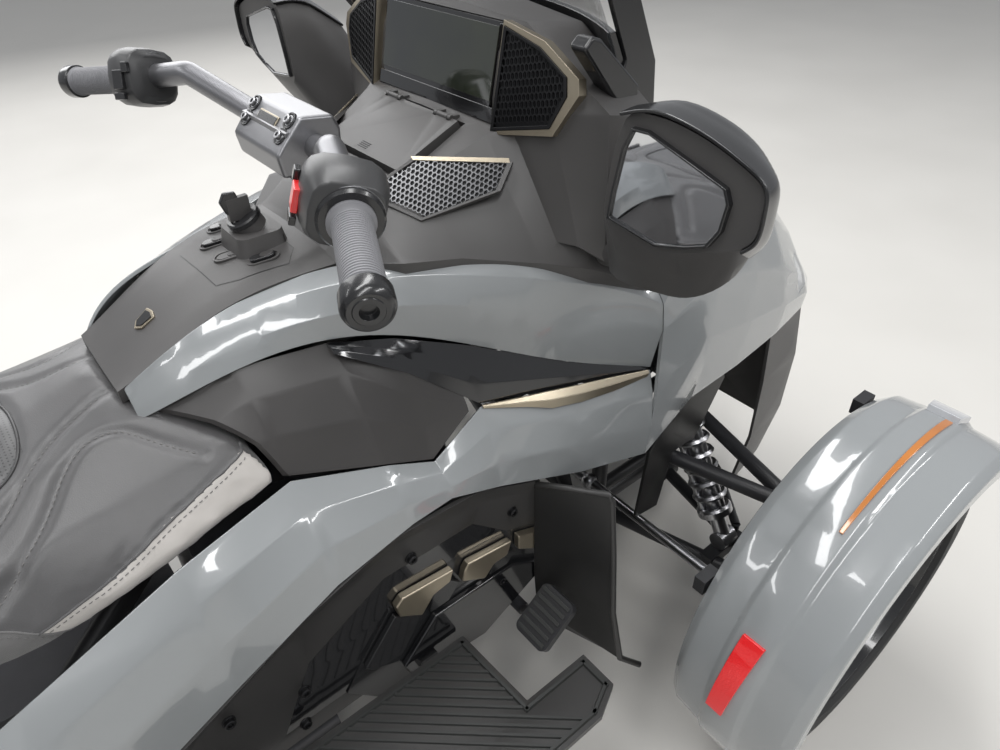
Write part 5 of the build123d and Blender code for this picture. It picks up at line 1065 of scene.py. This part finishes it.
# Handlebar: bent steel tube in satin silver, held in a riser clamp by four socket bolts. A moulded
# switch housing sits beside each ribbed rubber grip, the right one with a red stop switch.
bar_silver = finish("bar_silver", (0.26, 0.26, 0.27), (0.21, 0.21, 0.22), 0.36, metal=0.85, grain=0.08)
switch_gray = finish("switch_plastic", (0.046, 0.046, 0.047), (0.036, 0.036, 0.037), 0.36,
                     grain_size=0.0006, grain=0.14)
switch_red = finish("switch_red", (0.70, 0.030, 0.030), (0.60, 0.020, 0.022), 0.3, grain=0.03, coat=0.4)
grip_rubber = finish("grip_rubber", (0.20, 0.20, 0.21), (0.15, 0.15, 0.16), 0.55, grain=0.2)
dress(bar_silver, "handlebar")
rounded(0.0022, "handlebar")
GRIP_IN = Vector((0.300, 0.327, 1.057))
GRIP_END = Vector((0.248, 0.438, 1.041))
SWITCH_HOUSING = [
    # along the bar inwards from the grip, half height, half depth
    (0.002, 0.026, 0.026), (0.006, 0.035, 0.036), (0.020, 0.040, 0.041), (0.040, 0.041, 0.044),
    (0.058, 0.038, 0.042), (0.066, 0.028, 0.030),
]
HOUSING_BACK = 0.004
HOUSING_SIDES = 16
SEAM_RING = 2
SWITCHES = [
    # along the bar inwards from the grip, height, half width, half height, red on the right side
    (0.040, -0.006, 0.010, 0.0130, True), (0.056, 0.010, 0.006, 0.0070, False),
    (0.040, -0.028, 0.010, 0.005, False),
]
GRIP_RIBS = 26
RIB_GAP = 0.0038
GRIP_LONG = 0.1135
for side, label in ((1, "left"), (-1, "right")):
    grip_in = Vector((GRIP_IN.x, side * GRIP_IN.y, GRIP_IN.z))
    grip_end = Vector((GRIP_END.x, side * GRIP_END.y, GRIP_END.z))
    run = (grip_end - grip_in).normalized()
    back = (Vector((-1, 0, 0.25)) - run * Vector((-1, 0, 0.25)).dot(run)).normalized()
    above = run.cross(back) * side
    if above.z < 0:
        above = -above
    rings = []
    for inward, half_high, half_deep in SWITCH_HOUSING:
        spot = grip_in - run * inward + back * HOUSING_BACK
        ring = []
        for step in range(HOUSING_SIDES):
            turn = 2 * math.pi * step / HOUSING_SIDES
            c, s = math.cos(turn), math.sin(turn)
            ring.append(spot + above * math.copysign(abs(c) ** 0.62, c) * half_high
                        + back * math.copysign(abs(s) ** 0.62, s) * half_deep)
        rings.append(ring)
    lofted(f"switch_housing_{label}", rings, switch_gray, "handlebar", 0.002)
    seam_from = grip_in - run * SWITCH_HOUSING[SEAM_RING][0] + back * HOUSING_BACK
    seam = []
    for inward in (0.0305, 0.0315):
        seam_to = grip_in - run * inward + back * HOUSING_BACK
        seam.append([seam_to + (p - seam_from) * 1.012 for p in rings[SEAM_RING]])
    lofted(f"housing_seam_{label}", seam, satin_black, "handlebar", 0.0002)
    upright = above if run.cross(above).dot(back) > 0 else -above
    for index, (inward, height, half_a, half_b, red) in enumerate(SWITCHES):
        spot = grip_in - run * inward + above * height + back * 0.045
        slab(f"switch_{label}_{index}", spot, run, upright, oblong(half_a, half_b), 0.007,
             switch_red if red and side < 0 else satin_black, "handlebar", 0.0015)
    profile = [(-0.002, 0.0215), (0.000, 0.0240), (0.006, 0.0240), (0.008, 0.0200)]
    for rib in range(GRIP_RIBS):
        reach = 0.010 + rib * RIB_GAP
        profile += [(reach, 0.0186), (reach + 0.0008, 0.0200), (reach + 0.0026, 0.0200),
                    (reach + 0.0034, 0.0186)]
    profile += [(0.112, 0.0195), (GRIP_LONG, 0.0215)]
    grip = turned(f"ribbed_grip_{label}", grip_in, run, profile, grip_rubber, "handlebar", steps=40)
    if side == 1:
        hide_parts("grips")
    turned(f"bar_end_{label}", grip_in + run * GRIP_LONG, run, [
        (0.000, 0.0215), (0.002, 0.0240), (0.017, 0.0242), (0.0215, 0.0225), (0.0245, 0.0185),
        (0.0235, 0.0145), (0.0245, 0.0135), (0.0245, 0.0085), (0.018, 0.0075), (0.018, 0.002),
    ], satin_black, "handlebar", steps=48)
    turned(f"grip_collar_{label}", grip_in - run * 0.004, run, [
        (-0.004, 0.033), (0.003, 0.0335), (0.006, 0.031), (0.006, 0.0205),
    ], satin_black, "handlebar", steps=48)

CLAMP_SIDE = [(0.350, 1.004), (0.345, 1.034), (0.356, 1.046), (0.384, 1.074), (0.428, 1.068), (0.436, 1.050),
              (0.434, 1.004)]
clamp_rings = [[Vector((x, y, z)) for x, z in CLAMP_SIDE] for y in (-0.066, -0.040, 0.040, 0.066)]
lofted("riser_clamp", clamp_rings, bar_silver, "handlebar", 0.005)
clamp_out = Vector((-0.707, 0, 0.707))
clamp_rise = Vector((0.707, 0, 0.707))
clamp_at = Vector((0.370, 0, 1.060))
slab("clamp_plate", clamp_at, clamp_rise, (0, 1, 0), oblong(0.008, 0.026), 0.0018, champagne, "handlebar",
     0.0008)
slab("clamp_plate_face", clamp_at + clamp_out * 0.0012, clamp_rise, (0, 1, 0), oblong(0.006, 0.024), 0.0012,
     satin_black, "handlebar", 0.0004)
for index, (a, b) in enumerate(((-0.012, -0.049), (0.010, -0.049), (0.010, 0.049), (-0.012, 0.049))):
    spot = clamp_at + clamp_rise * a + Vector((0, b, 0))
    turned(f"clamp_well_{index}", spot, clamp_out, [
        (-0.002, 0.0115), (0.0015, 0.0112), (0.0015, 0.0090), (0.0002, 0.0086), (0.0002, 0.002),
    ], satin_black, "handlebar")
    bolt(f"clamp_bolt_{index}", spot + clamp_out * 0.0004, clamp_out, 0.0058, bright_steel, "handlebar")


# Rider's seat: moulded foam under dark vinyl, with a perforated middle edged in piping, sewn lines
# over the thighs, a light woven band along each side and a plain border sewn round the pan.
def between(a, b, share):
    """A place part of the way from a to b."""
    return (a[0] + (b[0] - a[0]) * share, a[1] + (b[1] - a[1]) * share)


def even_form(piece, voxel):
    """Turns a piece into an even mesh of small cells."""
    even = piece.modifiers.new("even_mesh", "REMESH")
    even.mode = "VOXEL"
    even.voxel_size = voxel
    settle(piece)


def padded_form(name, stations, cut, voxel, across=6, step=0.008):
    """A closed form through stations of (x, half section), cut in front, as an even mesh."""
    rows = []
    for (x_a, edge_a), (x_b, edge_b) in zip(stations, stations[1:]):
        count = max(1, round(abs(x_b - x_a) / step))
        for part in range(count):
            edge = [between(a, b, part / count) for a, b in zip(edge_a, edge_b)]
            rows.append((x_a + (x_b - x_a) * part / count, edge))
    rows.append(stations[-1])
    points = []
    for x, edge in rows:
        half = [between(a, b, cell / across) for a, b in zip(edge, edge[1:]) for cell in range(across)]
        half.append(edge[-1])
        ring = [(y, z) for y, z in half] + [(-y, z) for y, z in reversed(half[1:-1])]
        points += [(min(x, cut(y, z)) if cut else x, y, z) for y, z in ring]
    ring = len(points) // len(rows)
    faces = row_faces(len(rows), ring)
    for start in (0, (len(rows) - 1) * ring):
        for cell in range(ring // 2):
            quad = (start + cell, start + cell + 1, start + ring - cell - 1, start + (ring - cell) % ring)
            if len(set(quad)) > 2:
                faces.append(tuple(dict.fromkeys(quad)))
    piece = mesh_piece(name, points, faces, smooth=True)
    even_form(piece, voxel)
    return piece


def settle(piece):
    """Applies a piece's modifiers to its mesh."""
    shape = piece.evaluated_get(bpy.context.evaluated_depsgraph_get())
    mesh = bpy.data.meshes.new_from_object(shape)
    piece.modifiers.clear()
    piece.data = mesh
    for face in mesh.polygons:
        face.use_smooth = True


def smoothed(piece, rounds, pull):
    """Rounds the corners of an even mesh."""
    form = bmesh.new()
    form.from_mesh(piece.data)
    for _ in range(rounds):
        bmesh.ops.smooth_vert(form, verts=form.verts, factor=pull,
                              use_axis_x=True, use_axis_y=True, use_axis_z=True)
    form.to_mesh(piece.data)
    form.free()


FILL_FRAMES = 20


def filled(piece, inset, reach):
    """Draws a form in, then fills it by cloth under pressure, no point moving further than
    reach."""
    mesh = piece.data
    normals = [v.normal.copy() for v in mesh.vertices]
    for vertex, normal in zip(mesh.vertices, normals):
        vertex.co -= normal * inset
    start = [v.co.copy() for v in mesh.vertices]
    cloth = piece.modifiers.new("filling", "CLOTH")
    cover = cloth.settings
    cover.quality = 4
    cover.mass = 0.3
    cover.tension_stiffness = 30.0
    cover.compression_stiffness = 30.0
    cover.shear_stiffness = 12.0
    cover.bending_stiffness = 2.0
    cover.use_pressure = True
    cover.uniform_pressure_force = 4.0
    cover.effector_weights.gravity = 0.0
    cloth.collision_settings.use_collision = False
    scene = bpy.context.scene
    for moment in range(1, FILL_FRAMES + 1):
        scene.frame_set(moment)
    settle(piece)
    scene.frame_set(1)
    for vertex, origin in zip(piece.data.vertices, start):
        move = vertex.co - origin
        if move.length > reach:
            vertex.co = origin + move * (reach / move.length)


def finer(piece):
    """Halves the cells of a settled form."""
    fine = piece.modifiers.new("finer", "SUBSURF")
    fine.levels = 1
    fine.render_levels = 1


def groove(away, wide, depth):
    """Depth of a rounded groove at a distance from its line."""
    return depth * (1 - (away / wide) ** 2) ** 2 if away < wide else 0.0


def near_line(x, y, line):
    """Distance in plan from a point to a line of (x, y)."""
    best = 1.0
    for (ax, ay), (bx, by) in zip(line, line[1:]):
        wide = (bx - ax) ** 2 + (by - ay) ** 2
        share = max(0.0, min(1.0, ((x - ax) * (bx - ax) + (y - ay) * (by - ay)) / wide))
        best = min(best, math.hypot(x - ax - (bx - ax) * share, y - ay - (by - ay) * share))
    return best


def rounded_line(line, rounds=3):
    """A line of points with its corners cut round."""
    for _ in range(rounds):
        cut = [line[0]]
        for a, b in zip(line, line[1:]):
            cut.append(tuple(p * 0.75 + q * 0.25 for p, q in zip(a, b)))
            cut.append(tuple(p * 0.25 + q * 0.75 for p, q in zip(a, b)))
        line = cut + [line[-1]]
    return line


def spaced(points, gap):
    """Points at even gaps along a line of points."""
    run = [points[0]]
    left = gap
    for a, b in zip(points, points[1:]):
        length = (b - a).length
        done = 0.0
        while length - done >= left:
            done += left
            run.append(a + (b - a) * (done / length))
            left = gap
        left -= length - done
    return run


def piping(name, points, normals, radius, material, body):
    """A round welt along points on a surface, half sunk in it."""
    rim = []
    sides = 8
    for index, (point, normal) in enumerate(zip(points, normals)):
        way = (points[min(index + 1, len(points) - 1)] - points[max(index - 1, 0)]).normalized()
        across = way.cross(normal).normalized()
        for step in range(sides):
            turn = 2 * math.pi * step / sides
            rim.append(point + (across * math.cos(turn) + normal * math.sin(turn)) * radius)
    faces = row_faces(len(points), sides) + end_faces(len(points), sides)
    return fixed(mesh_piece(name, rim, faces, smooth=True), material, body)


def stitches(name, points, normals, material, body, long=0.0048, wide=0.0006):
    """Sewn stitches along points a stitch apart: short threads that dip at both ends."""
    corners = []
    faces = []
    for point, after, normal in zip(points, points[1:], normals):
        way = (after - point).normalized()
        across = way.cross(normal).normalized() * wide
        first = len(corners)
        for share, lift in ((-0.5, -0.0004), (-0.25, 0.0007), (0.25, 0.0007), (0.5, -0.0004)):
            spot = point + way * share * long + normal * lift
            corners += [spot - across, spot + normal * wide * 0.9, spot + across]
        for ring in range(3):
            a = first + ring * 3
            faces += [(a, a + 1, a + 4, a + 3), (a + 1, a + 2, a + 5, a + 4)]
    return fixed(mesh_piece(name, corners, faces, smooth=True), material, body)


OVER_SEATS = 1.4
BESIDE_SEATS = 0.5


def on_form(tree, line, sink=0.0, side=None):
    """Points and normals where a line of (x, y), or of (x, z) seen from a side, meets a form."""
    points = []
    normals = []
    for a, b in line:
        if side is None:
            spot, normal = tree.ray_cast(Vector((a, b, OVER_SEATS)), Vector((0, 0, -1)))[:2]
        else:
            spot, normal = tree.ray_cast(Vector((a, side * BESIDE_SEATS, b)), Vector((0, -side, 0)))[:2]
        if spot is not None:
            points.append(spot - normal * sink)
            normals.append(normal)
    return points, normals


def pressed_in(tree, height, strength, distance):
    """Adds relief of a height over what the shader's surface already has."""
    shader = tree.nodes["Principled BSDF"]
    relief = new_node(tree, "ShaderNodeBump", {"Strength": strength, "Distance": distance})
    grained = shader.inputs["Normal"].links[0].from_socket
    tree.links.new(height, relief.inputs["Height"])
    tree.links.new(grained, relief.inputs["Normal"])
    tree.links.new(relief.outputs["Normal"], shader.inputs["Normal"])


def woven(name, colour, shade, pitch):
    """A woven cover: two crossing ribs of thread in relief."""
    material = finish(name, colour, shade, 0.75, grain_size=0.0005, grain=0.2, tone=0.05)
    tree = material.node_tree
    place = new_node(tree, "ShaderNodeTexCoord")
    cross = new_node(tree, "ShaderNodeMath")
    cross.operation = "MULTIPLY"
    for index, (thread, direction) in enumerate((("warp", "Z"), ("weft", "X"))):
        rib = new_node(tree, "ShaderNodeTexWave", {"Scale": 0.3142 / pitch, "Distortion": 0.6})
        rib.name = thread
        rib.bands_direction = direction
        tree.links.new(place.outputs["Object"], rib.inputs["Vector"])
        tree.links.new(rib.outputs["Fac"], cross.inputs[index])
    pressed_in(tree, cross.outputs["Value"], 0.5, 0.0006)
    tree.nodes["Principled BSDF"].inputs["Sheen Weight"].default_value = 0.25
    return material


def vinyl_cover(name, colour, shade, holes=False):
    """Grained vinyl, its cells pressed in; the middle's has rows of small punched holes, painted near black
    as the shade inside them.
    """
    material = finish(name, colour, shade, 0.39, tone=0.09, grain_size=0.0011, grain=0.12)
    tree = material.node_tree
    shader = tree.nodes["Principled BSDF"]
    place = new_node(tree, "ShaderNodeTexCoord")
    cells = new_node(tree, "ShaderNodeTexVoronoi", {"Scale": 1.0 / 0.0016})
    tree.links.new(place.outputs["Object"], cells.inputs["Vector"])
    pressed_in(tree, cells.outputs["Distance"], 0.22, 0.0004)
    shader.inputs["Sheen Weight"].default_value = 0.2
    # The holes are painted near black: painted shade inside each hole.
    if holes:
        flat = new_node(tree, "ShaderNodeMapping", {"Scale": (1.0, 1.0, 0.0)})
        punched = new_node(tree, "ShaderNodeTexVoronoi", {"Scale": 1.0 / 0.0055, "Randomness": 0.0})
        punched.voronoi_dimensions = "2D"
        rim = new_node(tree, "ShaderNodeMapRange", {"From Min": 0.17, "From Max": 0.24})
        hole_shade = new_node(tree, "ShaderNodeMix")
        hole_shade.data_type = "RGBA"
        base = shader.inputs["Base Color"].links[0].from_socket
        tree.links.new(place.outputs["Object"], flat.inputs["Vector"])
        tree.links.new(flat.outputs["Vector"], punched.inputs["Vector"])
        tree.links.new(punched.outputs["Distance"], rim.inputs["Value"])
        tree.links.new(rim.outputs["Result"], hole_shade.inputs["Factor"])
        hole_shade.inputs["A"].default_value = (0.004, 0.004, 0.004, 1.0)
        tree.links.new(base, hole_shade.inputs["B"])
        tree.links.new(hole_shade.outputs["Result"], shader.inputs["Base Color"])
    return material


vinyl = vinyl_cover("seat_vinyl", (0.070, 0.068, 0.069), (0.056, 0.055, 0.056))
punched_vinyl = vinyl_cover("punched_vinyl", (0.062, 0.061, 0.062), (0.050, 0.049, 0.050), holes=True)
band_cloth = woven("side_band_weave", (0.46, 0.435, 0.41), (0.40, 0.378, 0.355), 0.0011)
border_cloth = woven("border_weave", (0.115, 0.113, 0.112), (0.090, 0.089, 0.088), 0.0011)
thread_gray = finish("sewing_thread", (0.16, 0.155, 0.15), (0.11, 0.107, 0.104), 0.6, grain=0.3,
                     grain_size=0.0004)
piping_black = finish("piping_vinyl", (0.030, 0.029, 0.030), (0.022, 0.022, 0.022), 0.4, grain=0.1)

RIDER_SEAT = [
    # x, half section (y, z) from the middle of the top over the side to the middle underneath
    (0.212, [(0, 0.812), (0.120, 0.786), (0.190, 0.757), (0.233, 0.718), (0.230, 0.700), (0, 0.700)]),
    (0.120, [(0, 0.812), (0.115, 0.791), (0.190, 0.754), (0.248, 0.708), (0.244, 0.688), (0, 0.688)]),
    (0.060, [(0, 0.809), (0.110, 0.788), (0.190, 0.748), (0.257, 0.699), (0.252, 0.676), (0, 0.676)]),
    (0.000, [(0, 0.788), (0.112, 0.777), (0.192, 0.743), (0.257, 0.686), (0.252, 0.661), (0, 0.661)]),
    (-0.090, [(0, 0.768), (0.120, 0.763), (0.200, 0.735), (0.250, 0.672), (0.244, 0.640), (0, 0.646)]),
    (-0.170, [(0, 0.760), (0.125, 0.756), (0.207, 0.733), (0.242, 0.684), (0.238, 0.645), (0, 0.645)]),
    (-0.250, [(0, 0.757), (0.130, 0.754), (0.212, 0.733), (0.241, 0.686), (0.238, 0.645), (0, 0.645)]),
    (-0.338, [(0, 0.790), (0.130, 0.785), (0.206, 0.757), (0.232, 0.700), (0.228, 0.645), (0, 0.645)]),
]
FRONT_CUT = [(0.0, 0.078), (0.080, 0.078), (0.220, 0.202), (0.370, 0.334)]


def seat_front(y, z):
    """How far forward the seat reaches beside the knee panels at a place."""
    reach = abs(y)
    for (y_a, x_a), (y_b, x_b) in zip(FRONT_CUT, FRONT_CUT[1:]):
        if reach <= y_b:
            return x_a + (x_b - x_a) * (reach - y_a) / (y_b - y_a) - max(0.0, 0.80 - z) * 0.12
    return FRONT_CUT[-1][1]


BAND_TOP = [(-0.093, 0.673), (0.005, 0.700), (0.060, 0.723), (0.175, 0.750), (0.212, 0.752)]
BORDER_TOP = [(-0.345, 0.716), (-0.180, 0.711), (-0.122, 0.697), (-0.093, 0.673), (-0.038, 0.640)]


def height_on(line, x):
    """Height of a line of (x, z) at x."""
    for (x_a, z_a), (x_b, z_b) in zip(line, line[1:]):
        if x_a <= x <= x_b:
            return z_a + (z_b - z_a) * (x - x_a) / (x_b - x_a)
    return None


INSERT = [(-0.345, 0.112), (-0.200, 0.112), (-0.073, 0.110), (-0.030, 0.060), (-0.030, -0.060),
          (-0.073, -0.110), (-0.200, -0.112), (-0.345, -0.112)]
SEAMS = []
for side in (1, -1):
    SEAMS.append([(-0.116, side * 0.215), (-0.055, side * 0.185), (0.010, side * 0.105),
                  (0.061, side * 0.105), (0.096, side * 0.148), (0.133, side * 0.185)])
    SEAMS.append([(-0.200, side * 0.185), (-0.085, side * 0.158), (-0.012, side * 0.072),
                  (0.050, side * 0.052), (0.074, side * 0.048)])
insert_line = rounded_line(INSERT)
seam_lines = [rounded_line(line) for line in SEAMS]
SIDE_FROM_Y = 0.170
STITCH_GAP = 0.0075
WELT_GAP = 0.004

cushion = padded_form("rider_cushion", RIDER_SEAT, seat_front, 0.0062)
smoothed(cushion, 5, 0.5)
filled(cushion, 0.003, 0.0065)
smoothed(cushion, 2, 0.4)
for vertex in cushion.data.vertices:
    x, y, z = vertex.co
    for line in (BAND_TOP, BORDER_TOP):
        level = height_on(line, x)
        if level is not None and abs(y) > SIDE_FROM_Y and abs(z - level) < 0.0032:
            vertex.co.z = level
    vertex.co.x = max(-0.3415, vertex.co.x)
cushion_normals = [v.normal.copy() for v in cushion.data.vertices]
for vertex, normal in zip(cushion.data.vertices, cushion_normals):
    if normal.z < 0.35:
        continue
    x, y, z = vertex.co
    deep = groove(near_line(x, y, insert_line), 0.012, 0.0046)
    for line in seam_lines:
        deep = max(deep, groove(near_line(x, y, line), 0.011, 0.0042))
    vertex.co -= normal * deep
for material in (vinyl, band_cloth, border_cloth, punched_vinyl):
    cushion.data.materials.append(material)
for face in cushion.data.polygons:
    x, y, z = face.center
    upper = height_on(BAND_TOP, x)
    lower = height_on(BORDER_TOP, x)
    if abs(y) > SIDE_FROM_Y and lower is not None and z < lower:
        face.material_index = 2
    elif abs(y) > SIDE_FROM_Y and upper is not None and z < upper and abs(face.normal.y) > 0.30:
        face.material_index = 1
    elif face.normal.z > 0.5 and inside((x, y), INSERT):
        face.material_index = 3
finer(cushion)
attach(cushion, "rider_seat")
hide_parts("seat")
form = BVHTree.FromObject(cushion, bpy.context.evaluated_depsgraph_get())


def flat_run(line, gap):
    """A line of pairs at even gaps."""
    return [(p.x, p.y) for p in spaced([Vector((a, b, 0)) for a, b in line], gap)]


for index, line in enumerate(seam_lines):
    points, normals = on_form(form, flat_run(line, STITCH_GAP))
    stitches(f"thigh_stitches_{index}", points, normals, thread_gray, "rider_seat")
points, normals = on_form(form, flat_run(insert_line, WELT_GAP), sink=-0.0003)
piping("insert_piping", points, normals, 0.0021, piping_black, "rider_seat")
for side, label in ((1, "left"), (-1, "right")):
    upper = rounded_line(BAND_TOP)
    points, normals = on_form(form, flat_run(upper, WELT_GAP), side=side)
    piping(f"band_piping_{label}", points, normals, 0.0016, vinyl, "rider_seat")
    under = [(x, z - 0.0055) for x, z in upper[2:-1]]
    points, normals = on_form(form, flat_run(under, STITCH_GAP), side=side)
    stitches(f"band_stitches_{label}", points, normals, thread_gray, "rider_seat")
    lower = rounded_line(BORDER_TOP)
    points, normals = on_form(form, flat_run(lower, WELT_GAP), side=side)
    piping(f"border_piping_{label}", points, normals, 0.0013, border_cloth, "rider_seat")
    under = [(x, z - 0.006) for x, z in lower[:-2]]
    points, normals = on_form(form, flat_run(under, STITCH_GAP), side=side)
    stitches(f"border_stitches_{label}", points, normals, thread_gray, "rider_seat")
for label, x in (("rear", -0.212), ("front", -0.145)):
    turned(f"seat_hinge_{label}", (x - 0.011, 0.262, 0.705), (1, 0, 0), [
        (0.0, 0.0022), (0.0, 0.0045), (0.001, 0.005), (0.021, 0.005), (0.022, 0.0045), (0.022, 0.0022),
    ], dark_steel, "rider_seat", steps=24)
    slab(f"seat_hinge_leaf_{label}", (x, 0.238, 0.7005), (1, 0, 0), (0, 1, 0),
         [(-0.011, -0.010), (0.011, -0.010), (0.011, 0.021), (-0.011, 0.021)],
         0.003, dark_steel, "rider_seat")

# Passenger's seat and backrest: the same foam and vinyl, crowned. The seat has piping round its
# punched top and three sewn lines across it, and the backrest has three grooves.
PILLION_SEAT = [
    (-0.347, [(0, 0.800), (0.120, 0.796), (0.178, 0.776), (0.203, 0.730), (0.203, 0.697), (0, 0.697)]),
    (-0.430, [(0, 0.905), (0.120, 0.900), (0.174, 0.884), (0.198, 0.836), (0.198, 0.697), (0, 0.697)]),
    (-0.620, [(0, 0.898), (0.120, 0.894), (0.176, 0.880), (0.200, 0.836), (0.200, 0.697), (0, 0.697)]),
    (-0.785, [(0, 0.915), (0.110, 0.910), (0.163, 0.894), (0.190, 0.850), (0.190, 0.697), (0, 0.697)]),
]
pillion = padded_form("passenger_cushion", PILLION_SEAT, None, 0.0075)
smoothed(pillion, 5, 0.5)
filled(pillion, 0.003, 0.0065)
PILLION_TOP = [(-0.380, 0.0), (-0.385, 0.120), (-0.430, 0.152), (-0.620, 0.156), (-0.745, 0.140),
               (-0.762, 0.100), (-0.762, -0.100), (-0.745, -0.140), (-0.620, -0.156), (-0.430, -0.152),
               (-0.385, -0.120), (-0.380, 0.0)]
pillion_line = rounded_line(PILLION_TOP)
cross_seams = [[(x, y * 0.0125) for y in range(-11, 12)] for x in (-0.500, -0.580, -0.660)]
pillion_normals = [v.normal.copy() for v in pillion.data.vertices]
for vertex, normal in zip(pillion.data.vertices, pillion_normals):
    x, y, z = vertex.co
    vertex.co.x = min(-0.3445, vertex.co.x)
    if normal.z < 0.3:
        continue
    deep = groove(near_line(x, y, pillion_line), 0.014, 0.005)
    for line in cross_seams:
        deep = max(deep, groove(near_line(x, y, line), 0.014, 0.004))
    vertex.co -= normal * deep
for material in (vinyl, punched_vinyl):
    pillion.data.materials.append(material)
for face in pillion.data.polygons:
    if face.normal.z > 0.5 and inside((face.center.x, face.center.y), pillion_line[:-1]):
        face.material_index = 1
finer(pillion)
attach(pillion, "chassis")
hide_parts("passenger_seat")
form = BVHTree.FromObject(pillion, bpy.context.evaluated_depsgraph_get())
points, normals = on_form(form, flat_run(pillion_line, 0.005), sink=-0.0003)
piping("passenger_piping", points, normals, 0.0022, piping_black, "chassis")
for index, line in enumerate(cross_seams):
    points, normals = on_form(form, flat_run(line, STITCH_GAP))
    stitches(f"passenger_stitches_{index}", points, normals, thread_gray, "chassis")

BACKREST = [
    # z, half thickness, half width
    (0.942, 0.016, 0.140), (0.955, 0.022, 0.158), (1.000, 0.026, 0.166), (1.120, 0.026, 0.164),
    (1.200, 0.023, 0.156), (1.226, 0.014, 0.132),
]
BACKREST_X = -0.820
BACKREST_SIDES = 32
points = []
for z, half_x, half_y in BACKREST:
    for step in range(BACKREST_SIDES):
        turn = 2 * math.pi * step / BACKREST_SIDES
        c, s = math.cos(turn), math.sin(turn)
        points.append((BACKREST_X + math.copysign(abs(c) ** 0.8, c) * half_x,
                       math.copysign(abs(s) ** 0.35, s) * half_y, z))
faces = row_faces(len(BACKREST), BACKREST_SIDES) + end_faces(len(BACKREST), BACKREST_SIDES)
backrest = mesh_piece("backrest_pad", points, faces, smooth=True)
even_form(backrest, 0.005)
smoothed(backrest, 4, 0.5)
filled(backrest, 0.002, 0.006)
backrest_normals = [v.normal.copy() for v in backrest.data.vertices]
for vertex, normal in zip(backrest.data.vertices, backrest_normals):
    for level in (1.020, 1.090, 1.160):
        if normal.x > 0.3 and abs(vertex.co.y) < 0.140:
            vertex.co -= normal * groove(abs(vertex.co.z - level), 0.010, 0.004)
backrest.data.materials.append(vinyl)
finer(backrest)
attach(backrest, "chassis")
